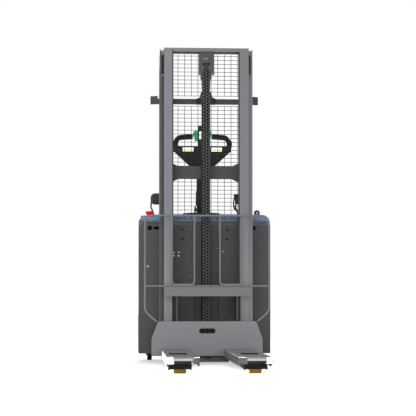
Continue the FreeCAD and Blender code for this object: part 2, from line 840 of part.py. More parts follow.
def make_inner_mast():
    for name, side in sides.items():
        web_out = d.inner_web_in + d.inner_web
        front = d.inner_front_y + d.inner_flange
        rear = d.inner_rear_y - d.inner_flange
        section = [(d.inner_flange_in, d.inner_front_y), (d.inner_flange_out, d.inner_front_y),
                   (d.inner_flange_out, front), (web_out, front), (web_out, rear),
                   (d.inner_flange_out, rear),
                   (d.inner_flange_out, d.inner_rear_y), (d.inner_flange_in, d.inner_rear_y),
                   (d.inner_flange_in, rear), (d.inner_web_in, rear), (d.inner_web_in, front),
                   (d.inner_flange_in, front)]
        body = new_body("InnerUpright")
        pad(body, "XY", [(side * x, y) for x, y in section], d.inner_bottom, d.mast_top - d.head_plate)
        channel = d.outer_rear_y - d.outer_flange - (d.outer_front_y + d.outer_flange)
        radius = guide_radius(channel)
        middle = (d.outer_front_y + d.outer_rear_y) / 2
        start = web_out + d.guide_side_gap
        notch = block(across(side, web_out, d.inner_flange_out + 1), (rear - 1, d.inner_rear_y + 1),
                      (d.inner_bottom - 1, d.lower_guide_z + radius + d.slide_gap))
        wheel = bar(radius, (across(side, start, start + d.guide_width)[0], middle, d.lower_guide_z),
                    d.guide_width, "x")
        stub = bar(d.guide_stub_radius, (across(side, web_out - 1, start + 1)[0], middle, d.lower_guide_z),
                   d.guide_side_gap + 2, "x")
        keep(f"inner_mast_{name}", joined(cut(body, notch), wheel, stub))
    web_out = d.inner_web_in + d.inner_web
    top = block((-web_out, web_out), (d.inner_front_y, d.inner_rear_y),
                (d.mast_top - d.head_plate, d.mast_top))
    brow = block((-d.inner_flange_out, d.inner_flange_out),
                 (d.inner_front_y, d.inner_front_y + d.inner_flange),
                 (d.mast_top - d.head_plate, d.mast_top))
    front = block((-d.inner_flange_in, d.inner_flange_in),
                  (d.inner_front_y, d.inner_front_y + d.inner_flange),
                  (d.mast_top - d.head_front_depth, d.mast_top))
    rear = block((-d.inner_flange_in, d.inner_flange_in), (d.inner_rear_y - d.inner_flange, d.inner_rear_y),
                 (d.mast_top - d.head_rear_depth, d.mast_top))
    keep("inner_mast_head", joined(top, brow, front, rear))
    keep("inner_mast_tie", block((-d.inner_web_in - d.inner_web, d.inner_web_in + d.inner_web),
                                 (d.inner_rear_y, d.inner_rear_y + d.tie_thickness),
                                 (d.tie_low_z, d.tie_high_z)))


def make_lift():
    foot = d.leg_top + d.foot_thickness
    bore = d.piston_rod_radius + d.running_gap
    keep("cylinder_barrel", turned([(0, foot), (d.barrel_radius, foot), (d.barrel_radius, d.barrel_top),
                                    (d.gland_radius, d.barrel_top),
                                    (d.gland_radius, d.barrel_top + d.gland_height),
                                    (bore, d.barrel_top + d.gland_height),
                                    (bore, d.barrel_top - d.gland_depth),
                                    (d.barrel_bore, d.barrel_top - d.gland_depth),
                                    (d.barrel_bore, foot + d.barrel_floor), (0, foot + d.barrel_floor)],
                                   (0, d.ram_y, 0)))
    clamp_low = d.barrel_top - d.clamp_height
    clamp = prism("XZ", mirrored([(d.clamp_half_width, clamp_low),
                                  (d.clamp_half_width, clamp_low + d.clamp_ear_height),
                                  (d.clamp_shoulder_half, clamp_low + d.clamp_shoulder_rise),
                                  (d.clamp_top_half, d.barrel_top)]),
                  d.ram_y - d.clamp_front, d.ram_y + d.clamp_rear)
    seat = bar(d.barrel_radius + d.seat_gap, (0, d.ram_y, clamp_low - 1), d.clamp_height + 2)
    rear_chain = d.ram_y + d.chain_radius
    half_chain = d.chain_width / 2
    post = block((-half_chain, half_chain),
                 (rear_chain - d.chain_plate_height / 2, rear_chain + d.chain_plate_height / 2),
                 (d.barrel_top - 1, d.chain_rear_low_z))
    keep("cylinder_clamp", joined(cut(clamp, seat), post))
    piston = d.barrel_bore - d.running_gap
    keep("lift_rod", turned([(0, d.rod_bottom), (piston, d.rod_bottom),
                             (piston, d.rod_bottom + d.piston_height),
                             (d.piston_rod_radius, d.rod_bottom + d.piston_height),
                             (d.piston_rod_radius, d.neck_bottom), (d.neck_low_radius, d.neck_bottom),
                             (d.neck_high_radius, d.crosshead_bottom), (0, d.crosshead_bottom)],
                            (0, d.ram_y, 0)))
    front_y = d.ram_y - d.crosshead_depth / 2
    rear_y = d.ram_y + d.crosshead_depth / 2
    inner = d.pulley_width / 2 + d.cheek_gap
    base = block((-inner - d.cheek_plate, inner + d.cheek_plate), (front_y, rear_y),
                 (d.crosshead_bottom, d.crosshead_bottom + d.crosshead_height))
    guard_front = d.inner_front_y + d.inner_flange + d.seat_gap
    guard_rear = guard_front + d.guard_thickness
    cheeks = [block(across(side, inner, inner + d.cheek_plate), (guard_rear, rear_y),
                    (d.crosshead_bottom, d.cheek_plate_top)) for side in sides.values()]
    pin = bar(d.pulley_pin_radius, (-inner - d.cheek_plate, d.ram_y, d.pulley_z),
              2 * (inner + d.cheek_plate), "x")
    lug_in = d.guard_half_width - d.guard_lug_width
    outline = mirrored([(lug_in, d.guard_bottom), (lug_in, d.guard_bottom - d.guard_lug_drop),
                        (d.guard_half_width, d.guard_bottom - d.guard_lug_drop),
                        (d.guard_half_width, d.guard_top)])
    guard = prism("XZ", outline, guard_front, guard_rear)
    window = block((-inner, inner), (guard_front - 1, guard_rear + 1),
                   (d.guard_bottom - 1, d.guard_slot_top))
    keep("pulley_frame", joined(base, *cheeks, pin, cut(guard, window)))
    groove = d.chain_radius - d.chain_plate_height / 2
    rim = d.chain_radius + d.pulley_rim
    half = d.chain_width / 2 + d.cheek_gap
    keep("chain_pulley", turned([(d.pulley_pin_radius + d.running_gap, -d.pulley_width / 2),
                                 (rim, -d.pulley_width / 2),
                                 (rim, -half), (groove, -half), (groove, half), (rim, half),
                                 (rim, d.pulley_width / 2),
                                 (d.pulley_pin_radius + d.running_gap, d.pulley_width / 2)],
                                (0, d.ram_y, d.pulley_z), "x"))
    keep("chain_front", chain_run(d.ram_y - d.chain_radius, d.chain_low_z, d.pulley_z))
    keep("chain_rear", chain_run(d.ram_y + d.chain_radius, d.chain_rear_low_z, d.pulley_z))


def chain_run(y, low, high):
    """Leaf chain, laced two by two: the plates of one link stand beside the gaps of the next."""
    pitch = float(d.chain_pitch)
    width = float(d.chain_plate_width)
    column = width + float(d.chain_plate_gap)
    columns = int(float(d.chain_columns))
    depth = float(d.chain_plate_height)
    length = pitch + depth
    solids = []
    for link in range(int((float(high) - float(low)) / pitch)):
        bottom = float(low) + link * pitch
        for place in range(link % 2, columns, 2):
            corner = Vector((place - (columns - 1) / 2) * column - width / 2, float(y) - depth / 2, bottom)
            solids.append(Part.makeBox(width, depth, min(length, float(high) - bottom), corner))
    chain = document.addObject("Part::Feature", "Chain")
    chain.Shape = Part.makeCompound(solids)
    return chain


def make_ties_and_screen():
    half = d.outer_web_out
    low = d.mid_tie_low_z
    high = d.mid_tie_high_z
    flare = d.mid_tie_flare
    plate = mirrored([(d.mid_tie_flare_in, low), (d.mid_tie_flare_out, low - flare), (half, low - flare),
                      (half, high + flare), (d.mid_tie_flare_out, high + flare), (d.mid_tie_flare_in, high)])
    keep("mast_mid_tie", prism("XZ", plate, d.outer_rear_y, d.outer_rear_y + d.tie_thickness))
    post_y = d.wire_front_y + 2 * d.wire_size + 2 * d.wire_gap
    bar_front = post_y + d.screen_post_depth
    bar_rear = bar_front + d.screen_bar_depth
    high = d.screen_bar_high_z
    tip = d.screen_bar_half_width
    ear = tip - d.screen_bar_ear
    bend = d.screen_bar_bend
    plan = [(-tip, bar_front + bend), (-ear, bar_front), (ear, bar_front), (tip, bar_front + bend),
            (tip, bar_rear + bend),
            (ear, bar_rear), (-ear, bar_rear), (-tip, bar_rear + bend)]
    rail = prism("XY", plan, d.screen_bar_low_z, high + d.screen_bar_ear_rise)
    dip = block((-ear, ear), (bar_front - 1, bar_rear + 1), (high, high + d.screen_bar_ear_rise + 1))
    keep("screen_bar", cut(rail, dip))
    slope = (d.case_rim_top - d.case_front_top) / (case_rim_y - d.case_front_y)
    foot = d.case_front_top + (bar_front - d.case_front_y) * slope + d.seat_gap
    post_out = d.outer_web_out
    for name, side in sides.items():
        posts = [block(across(side, d.screen_post_in, post_out), (post_y, bar_front),
                       (foot, d.screen_top_z))]
        for height in (d.screen_low_z + d.strut_margin, (d.mid_tie_high_z + d.screen_bar_low_z) / 2,
                       d.screen_bar_low_z, d.screen_top_z - d.strut_margin):
            posts.append(block(across(side, post_out - d.screen_strut_width, post_out),
                               (d.outer_rear_y, post_y),
                               (height, height + d.strut_height)))
        keep(f"screen_post_{name}", together(*posts))
    keep("mesh_screen", mesh())


def mesh():
    """Welded mesh: upright wires in front, level wires behind, in a lower and an upper panel."""
    size = float(d.wire_size)
    front = float(d.wire_front_y)
    behind = front + size + float(d.wire_gap)
    reach = float(d.screen_wire_out)
    columns = int(float(d.wire_columns))
    solids = []
    for low, high in ((d.screen_low_z, d.screen_low_top_z), (d.screen_high_z, d.screen_top_z)):
        low = float(low)
        high = float(high)
        for column in range(columns):
            x = (column - (columns - 1) / 2) * float(d.wire_pitch_x)
            solids.append(Part.makeBox(size, size, high - low, Vector(x - size / 2, front, low)))
        for level in range(int((high - low) / float(d.wire_pitch_z)) + 1):
            z = high - size - level * float(d.wire_pitch_z)
            solids.append(Part.makeBox(2 * reach, size, size, Vector(-reach, behind, z)))
    screen = document.addObject("Part::Feature", "Mesh")
    screen.Shape = Part.makeCompound(solids)
    return screen


def make_carriage():
    rear = d.face_y + d.carriage_plate
    leg_in = d.leg_centre - d.leg_width / 2 - d.slide_gap
    leg_out = d.leg_centre + d.leg_width / 2 + d.slide_gap
    arch = d.leg_top + d.slide_gap
    right = [(leg_in, d.carriage_bottom), (leg_in, arch), (leg_out, arch), (leg_out, d.carriage_bottom),
             (d.carriage_half_width, d.carriage_bottom), (d.carriage_half_width, d.carriage_shoulder_z),
             (d.carriage_top_half, d.carriage_top)]
    body = prism("XZ", mirrored(right), d.face_y, rear)
    slot_radius = (d.carriage_slot_high - d.carriage_slot_low) / 2
    slot_z = (d.carriage_slot_high + d.carriage_slot_low) / 2
    straight = d.carriage_slot_half - slot_radius
    span = (d.face_y - 1, rear + 1)
    slot = [block((-straight, straight), span, (d.carriage_slot_low, d.carriage_slot_high))]
    for side in sides.values():
        slot.append(bar(slot_radius, (side * straight, span[0], slot_z), span[1] - span[0], "y"))
    keep("carriage_plate", cut(body, *slot))
    keep("fork_bar", block((-d.fork_bar_half_width, d.fork_bar_half_width),
                           (rear - d.fork_bar_thickness, rear),
                           (d.fork_bar_low, d.fork_bar_high)))
    channel = d.inner_rear_y - d.inner_flange - (d.inner_front_y + d.inner_flange)
    radius = guide_radius(channel)
    middle = (d.inner_front_y + d.inner_rear_y) / 2
    for name, side in sides.items():
        plate = block(across(side, d.side_plate_out - d.side_plate, d.side_plate_out),
                      (rear, d.side_plate_rear_y),
                      (d.side_plate_bottom, d.fork_bar_high))
        start = d.inner_web_in - d.guide_side_gap - d.carriage_guide_width
        rollers = []
        for height in (d.carriage_guide_low_z, d.carriage_guide_high_z):
            rollers.append(bar(radius, (across(side, start, start + d.carriage_guide_width)[0], middle,
                                        height),
                               d.carriage_guide_width, "x"))
            rollers.append(bar(d.guide_stub_radius,
                               (across(side, d.side_plate_out - 1, start + 1)[0], middle, height),
                               start + 2 - d.side_plate_out, "x"))
        keep(f"carriage_side_{name}", joined(plate, *rollers))
    inner = d.side_plate_out - d.side_plate
    cross = block((-inner, inner), (d.cross_front_y, d.cross_front_y + d.cross_thickness),
                  (d.cross_low_z, d.cross_high_z))
    half = d.chain_width / 2 + d.anchor_margin
    chain_y = d.ram_y - d.chain_radius
    anchor = block((-half, half), (d.cross_front_y + d.cross_thickness - 1,
                                   chain_y + d.chain_plate_height / 2),
                   (d.cross_low_z + d.anchor_rise, d.cross_high_z))
    keep("carriage_cross", joined(cross, anchor))


def make_forks():
    tip = d.face_y - d.fork_length
    outer = d.fork_in + d.fork_width
    under = d.fork_top - d.fork_deck
    nose = tip + d.fork_tip_cut_length
    for name, side in sides.items():
        deck = [(d.fork_in, d.face_y), (d.fork_in, nose), (d.fork_in + d.fork_tip_cut, tip),
                (outer - d.fork_tip_cut, tip), (outer, nose), (outer, d.face_y)]
        plate = prism("XY", [(side * x, y) for x, y in deck], under, d.fork_top)
        centre = side * d.fork_hole_centre
        hole = block((centre - d.fork_hole_width / 2, centre + d.fork_hole_width / 2),
                     (d.fork_hole_front_y, d.fork_hole_rear_y), (under - 1, d.fork_top + 1))
        walls = []
        for low in (d.fork_in, outer - d.fork_wall):
            span = across(side, low, low + d.fork_wall)
            profile = [(d.face_y, under), (d.face_y, d.fork_bottom), (nose + d.fork_nose, d.fork_bottom),
                       (nose, d.fork_bottom + d.fork_nose_rise), (nose, under)]
            walls.append(prism("YZ", profile, span[0], span[1]))
        for start, end, inward in ((d.fork_in, d.fork_in + d.fork_tip_cut, d.fork_wall),
                                   (outer, outer - d.fork_tip_cut, -d.fork_wall)):
            taper = [(start, nose), (end, tip), (end + inward, tip), (start + inward, nose)]
            walls.append(prism("XY", [(side * x, y) for x, y in taper], under - d.fork_tip_wall, under))
        keep(f"fork_{name}", together(cut(plate, hole), *walls))


def tube(points, radius, corner, steps):
    """Round tube with its bends in short straight pieces; corner holds the radius at each inner point."""
    path = [points[0]]
    for i in range(1, len(points) - 1):
        before = (points[i - 1] - points[i]).normalize()
        after = (points[i + 1] - points[i]).normalize()
        half_turn = (math.pi - before.getAngle(after)) / 2
        inward = (before + after).normalize()
        centre = points[i] + inward * (corner[i - 1] / math.cos(half_turn))
        sideways = (after - before).normalize()
        for step in range(steps + 1):
            angle = half_turn * (2 * step / steps - 1)
            path.append(centre + (sideways * math.sin(angle) - inward * math.cos(angle)) * corner[i - 1])
    path.append(points[-1])
    circle = Part.Wire([Part.Circle(points[0], points[1] - points[0], radius).toShape()])
    mitred = 1
    return Part.makePolygon(path).makePipeShell([circle], True, False, mitred)


def feature(shape):
    item = document.addObject("Part::Feature", "Shaped")
    item.Shape = shape
    return item


def make_backrest():
    y = float(d.rail_y)
    half = float(d.rail_half_width)
    top = float(d.rail_top)
    bend = float(d.rail_bend_z)
    foot_x = float(d.rail_foot_x)
    foot_z = float(d.rail_foot_z)
    points = [Vector(-foot_x, y, foot_z), Vector(-half, y, bend), Vector(-half, y, top),
              Vector(half, y, top),
              Vector(half, y, bend), Vector(foot_x, y, foot_z)]
    corner = float(d.rail_corner)
    soft = float(d.rail_bend_radius)
    radius = float(d.rail_radius)
    hoop = tube(points, radius, [soft, corner, corner, soft], int(float(d.rail_bend_steps)))
    level = float(d.fork_bar_high) + radius
    bars = [Part.makeCylinder(radius, 2 * half, Vector(-half, y, level), Vector(1, 0, 0))]
    for x in (float(d.bar_inner_x), float(d.bar_outer_x)):
        for side in sides.values():
            bars.append(Part.makeCylinder(radius, top - level, Vector(side * x, y, level)))
    below = Part.makeBox(2 * half, 2 * corner, corner,
                         Vector(-half, y - corner, float(d.carriage_top) - corner))
    keep("load_backrest", feature(hoop.fuse(bars).cut([below]).removeSplitter()))


def make_controls():
    place = d.case_half_width - d.control_inset
    keep("stop_button", turned([(0, 0), (d.stop_neck_radius, 0), (d.stop_neck_radius, d.stop_neck_height),
                                (d.stop_radius, d.stop_neck_height), (d.stop_radius, d.stop_height),
                                (0, d.stop_height)], (-place, stop_y, d.lid_top)))
    centre_z = d.lid_top + d.key_rise + d.key_radius
    drum = bar(d.key_radius, (place, stop_y - d.key_depth / 2, centre_z), d.key_depth, "y")
    face = bar(d.key_face_radius, (place, stop_y - d.key_depth / 2 - d.key_face_raise, centre_z),
               d.key_face_raise + 1, "y")
    foot = block((place - d.key_foot, place + d.key_foot),
                 (stop_y - d.key_depth / 2, stop_y + d.key_depth / 2),
                 (d.lid_top, centre_z))
    keep("key_switch", joined(drum, face, foot))
    for name, side in sides.items():
        trim = d.handle_right_trim if side > 0 else as_size(0)
        out = d.handle_out - trim
        foot = d.handle_foot_out - trim
        outline = [(d.handle_in, d.hood_top), (foot, d.hood_top), (out, d.handle_elbow_z),
                   (out, d.handle_pod_top - d.handle_shoulder), (out - d.handle_shoulder, d.handle_pod_top),
                   (d.handle_in + d.handle_shoulder, d.handle_pod_top),
                   (d.handle_in, d.handle_pod_top - d.handle_shoulder)]
        window = [(d.handle_in + d.handle_leg, d.hood_top - 1), (foot - d.handle_leg, d.hood_top - 1),
                  (foot - d.handle_leg, d.hood_top), (out - d.handle_leg, d.handle_elbow_z),
                  (out - d.handle_leg, d.handle_pod_low), (d.handle_in + d.handle_leg, d.handle_pod_low)]
        span = (handle_y - d.handle_depth / 2, handle_y + d.handle_depth / 2)
        body = new_body("Handle")
        pad(body, "XZ", [(side * x, z) for x, z in outline], *span)
        pocket(body, "XZ", [(side * x, z) for x, z in window], span[0] - 1, span[1] + 1)
        pod = float(d.handle_pod_top - d.handle_shoulder) - 1
        keep(f"grab_handle_{name}",
             bevelled(body, d.handle_edge,
                      lambda edge: edge.CenterOfMass.z > pod
                      and (on_face(edge, span[0]) or on_face(edge, span[1]))))


def tiller_place():
    lean = float(d.tiller_lean)
    return Placement(Vector(0, float(steer_y), float(d.hinge_z)), Rotation(Vector(1, 0, 0), lean))


def make_tiller():
    ear_in = d.ear_half_gap
    ear_radius = d.hinge_ear_radius
    disc = bar(d.base_radius, (0, steer_y, d.base_low), d.base_thickness)
    ears = []
    for side in sides.values():
        span = across(side, ear_in, ear_in + d.ear_thickness)
        ears.append(block(span, (steer_y - ear_radius, steer_y + ear_radius), (d.base_low + 1, d.hinge_z)))
        ears.append(bar(ear_radius, (span[0], steer_y, d.hinge_z), d.ear_thickness, "x"))
    reach = ear_in + d.ear_thickness
    pin = bar(d.hinge_pin_radius, (-reach, steer_y, d.hinge_z), 2 * reach, "x")
    keep("tiller_base", joined(disc, *ears, pin))

    place = tiller_place()
    boot = d.boot_half_width
    depth = (-d.shaft_half_depth, d.shaft_half_depth)
    lug = bar(d.hinge_lug_radius, (-boot, 0, 0), 2 * boot, "x")
    lower = block((-boot, boot), depth, (0, d.boot_top))
    upper = block((-d.shaft_half_width, d.shaft_half_width), depth, (d.boot_top, d.bowl_low))
    bore = bar(d.hinge_pin_radius + d.running_gap, (-boot - 1, 0, 0), 2 * boot + 2, "x")
    collar = block((-d.collar_half_width, d.collar_half_width), depth, (d.collar_low, d.collar_high))
    arm = cut(joined(lug, lower, collar, upper), bore)

    half = d.head_depth / 2
    inner = d.column_half_width
    outline = mirrored([(d.bowl_low_half, d.bowl_low), (d.bowl_side_half, d.bowl_side_z),
                        (d.head_half_width, d.head_wide_z),
                        (d.head_half_width, d.grip_outer_top - d.head_shoulder),
                        (d.head_half_width - d.head_shoulder, d.grip_outer_top), (inner, d.grip_inner_top)])
    wide = float(d.head_half_width) - 1
    shoulder = wide - float(d.head_shoulder)
    plate = rounded(prism("XZ", outline, -half, half), d.head_corner,
                    lambda edge: direction(edge) == "y" and edge.CenterOfMass.z > float(d.bowl_low) + 1
                    and shoulder < abs(edge.CenterOfMass.x) < wide)
    windows = []
    for side in sides.values():
        corners = [(inner, d.window_low), (d.window_out, d.window_low),
                   (d.window_out, d.grip_outer_top - d.grip_height),
                   (inner, d.grip_inner_top - d.grip_height)]
        window = prism("XZ", [(side * x, z) for x, z in corners], -half - 1, half + 1)
        windows.append(rounded(window, d.window_corner,
                               lambda edge: direction(edge) == "y"
                               and abs(edge.CenterOfMass.x) > float(inner) + 1))
        windows.append(block(across(side, inner, d.grip_in), (-half - 1, half + 1),
                             (d.window_low + d.window_corner,
                              d.column_top)))
    loops = bevelled(cut(plate, *windows), d.head_edge,
                     lambda edge: on_face(edge, half) or on_face(edge, -half))
    column = block((-inner, inner), (-d.column_depth / 2, d.column_depth / 2), (d.bowl_low, d.column_top))
    head = joined(loops, column)

    pads = []
    rockers = []
    for side in sides.values():
        pads.append(block(across(side, d.pad_in, d.pad_out), (-half - d.pad_raise, -half),
                          (d.pad_low, d.pad_high)))
        corners = [(inner, d.rocker_low), (d.rocker_reach - d.rocker_step, d.rocker_low),
                   (d.rocker_reach - d.rocker_step, d.rocker_middle), (d.rocker_reach, d.rocker_middle),
                   (d.rocker_reach, d.rocker_high - d.rocker_step),
                   (d.rocker_reach - d.rocker_step, d.rocker_high),
                   (inner, d.rocker_high)]
        rockers.append(prism("XZ", [(side * x, z) for x, z in corners], -d.rocker_depth / 2,
                             d.rocker_depth / 2))
    for name, item in (("tiller_arm", arm), ("tiller_head", head), ("tiller_pads", together(*pads)),
                       ("tiller_rockers", together(*rockers))):
        document.recompute()
        item.Placement = place
        keep(name, item)


make_legs()
make_case()
make_skirt_and_hood()
make_drive()
make_casters()
make_outer_mast()
make_inner_mast()
make_lift()
make_ties_and_screen()
make_carriage()
make_forks()
make_backrest()
make_controls()
make_tiller()

document.recompute()
faults = [item.Label for item in document.Objects if "Invalid" in item.State or "Error" in item.State]
for label, item in pieces.items():
    if item.Shape.isNull() or not item.Shape.isValid():
        faults.append(label)
if faults:
    raise SystemExit(f"Failed objects: {faults}")

os.makedirs("parts", exist_ok=True)
for label, item in pieces.items():
    item.Shape.exportStep(f"parts/{label}.step")
print(f"{len(pieces)} sub-parts")
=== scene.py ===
import bpy
import bmesh
import json
import math
from mathutils import Matrix, Vector


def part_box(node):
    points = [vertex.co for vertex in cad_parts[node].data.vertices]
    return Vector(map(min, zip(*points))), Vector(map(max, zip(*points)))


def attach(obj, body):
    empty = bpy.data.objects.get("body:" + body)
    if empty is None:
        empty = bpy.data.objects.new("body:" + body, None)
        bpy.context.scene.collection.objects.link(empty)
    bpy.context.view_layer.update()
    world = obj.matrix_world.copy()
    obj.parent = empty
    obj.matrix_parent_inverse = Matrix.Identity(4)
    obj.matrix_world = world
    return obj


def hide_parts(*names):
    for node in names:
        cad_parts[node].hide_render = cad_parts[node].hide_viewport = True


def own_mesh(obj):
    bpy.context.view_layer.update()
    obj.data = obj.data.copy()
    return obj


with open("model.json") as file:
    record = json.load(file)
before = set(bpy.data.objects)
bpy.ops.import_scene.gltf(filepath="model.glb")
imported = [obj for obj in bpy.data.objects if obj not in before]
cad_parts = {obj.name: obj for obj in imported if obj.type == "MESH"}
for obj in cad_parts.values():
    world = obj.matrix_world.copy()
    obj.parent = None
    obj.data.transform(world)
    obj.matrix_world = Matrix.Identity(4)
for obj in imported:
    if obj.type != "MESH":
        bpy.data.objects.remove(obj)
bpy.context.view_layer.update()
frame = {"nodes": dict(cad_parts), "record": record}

print("stage: frame loaded,", len(frame["nodes"]), "nodes")


# Shading helpers

def srgb(code):
    channels = [int(code[i:i + 2], 16) / 255 for i in (1, 3, 5)]
    return [c / 12.92 if c <= 0.04045 else ((c + 0.055) / 1.055) ** 2.4 for c in channels] + [1.0]


def addNode(tree, kind, settings=None, **links):
    node = tree.nodes.new(kind)
    for name, value in (settings or {}).items():
        if name in node.inputs:
            node.inputs[name].default_value = value
        else:
            setattr(node, name, value)
    for name, source in links.items():
        tree.links.new(source, node.inputs[name.replace("_", " ")])
    return node


def newMaterial(name):
    material = bpy.data.materials.new(name)
    material.use_nodes = True
    tree = material.node_tree
    return material, tree, tree.nodes["Principled BSDF"]


def scaleFor(millimetres):
    return 1000 / millimetres        # noise cells per metre, from the size of one cell


def mixColours(tree, factor, low, high):
    mix = addNode(tree, "ShaderNodeMix", {"data_type": "RGBA"})
    tree.links.new(factor, mix.inputs[0])
    for socket, value in ((mix.inputs[6], low), (mix.inputs[7], high)):
        if isinstance(value, bpy.types.NodeSocket):
            tree.links.new(value, socket)
        else:
            socket.default_value = value
    return mix.outputs[2]


def shaded(colour, share):
    return [min(1.0, c * share) for c in srgb(colour)[:3]] + [1.0]


def finishOf(name, colour, settings):
    material, tree, shader = newMaterial(name)
    place = addNode(tree, "ShaderNodeTexCoord").outputs["Object"]
    stretched = place
    if "brush" in settings:
        brushed = addNode(tree, "ShaderNodeMapping", {"Scale": settings["brush"]}, Vector=place)
        stretched = brushed.outputs["Vector"]
    cloud = addNode(tree, "ShaderNodeTexNoise", {"Scale": scaleFor(settings["cloud"]), "Detail": 3.0},
                    Vector=place)
    grain = addNode(tree, "ShaderNodeTexNoise", {"Scale": scaleFor(settings["grain"]), "Detail": 2.0},
                    Vector=stretched)
    drift = settings["drift"]
    tone = mixColours(tree, cloud.outputs["Fac"], shaded(colour, 1 - drift), shaded(colour, 1 + drift))
    if settings.get("speck"):
        specks = addNode(tree, "ShaderNodeMapRange", {"From Min": 0.62, "From Max": 0.75},
                         Value=grain.outputs["Fac"])
        tone = mixColours(tree, specks.outputs["Result"], tone, shaded(colour, 1 + settings["speck"]))
    rough = addNode(tree, "ShaderNodeMapRange",
                    {"To Min": settings["rough"] - 0.05, "To Max": settings["rough"] + 0.06},
                    Value=cloud.outputs["Fac"])
    bump = addNode(tree, "ShaderNodeBump", {"Strength": settings["bump"], "Distance": 0.0003},
                   Height=grain.outputs["Fac"])
    if settings.get("edge"):
        geometry = addNode(tree, "ShaderNodeNewGeometry")
        bevel = addNode(tree, "ShaderNodeBevel", {"samples": 4, "Radius": settings["edge"] / 1000})
        facing = addNode(tree, "ShaderNodeVectorMath", {"operation": "DOT_PRODUCT"})
        tree.links.new(bevel.outputs["Normal"], facing.inputs[0])
        tree.links.new(geometry.outputs["True Normal"], facing.inputs[1])
        # Lighter along the edges, found from the bevel normal: a painted highlight
        paintedHighlight = addNode(tree, "ShaderNodeMapRange", {"From Min": 0.99, "From Max": 0.8},
                       Value=facing.outputs["Value"])
        tone = mixColours(tree, paintedHighlight.outputs["Result"], tone, shaded(colour, 1 + settings["edgeHighlight"]))
        tree.links.new(bevel.outputs["Normal"], bump.inputs["Normal"])
    tree.links.new(tone, shader.inputs["Base Color"])
    tree.links.new(rough.outputs["Result"], shader.inputs["Roughness"])
    tree.links.new(bump.outputs["Normal"], shader.inputs["Normal"])
    shader.inputs["Metallic"].default_value = settings.get("metal", 0.0)
    shader.inputs["Coat Weight"].default_value = settings.get("coat", 0.0)
    shader.inputs["Coat Roughness"].default_value = 0.15
    # Glow: emission on a part that is no lamp, painted light
    if settings.get("glow"):
        tree.links.new(tone, shader.inputs["Emission Color"])
        shader.inputs["Emission Strength"].default_value = settings["glow"]
    if not settings.get("metal"):
        shader.inputs["IOR"].default_value = settings.get("ior", 1.5)
    return material
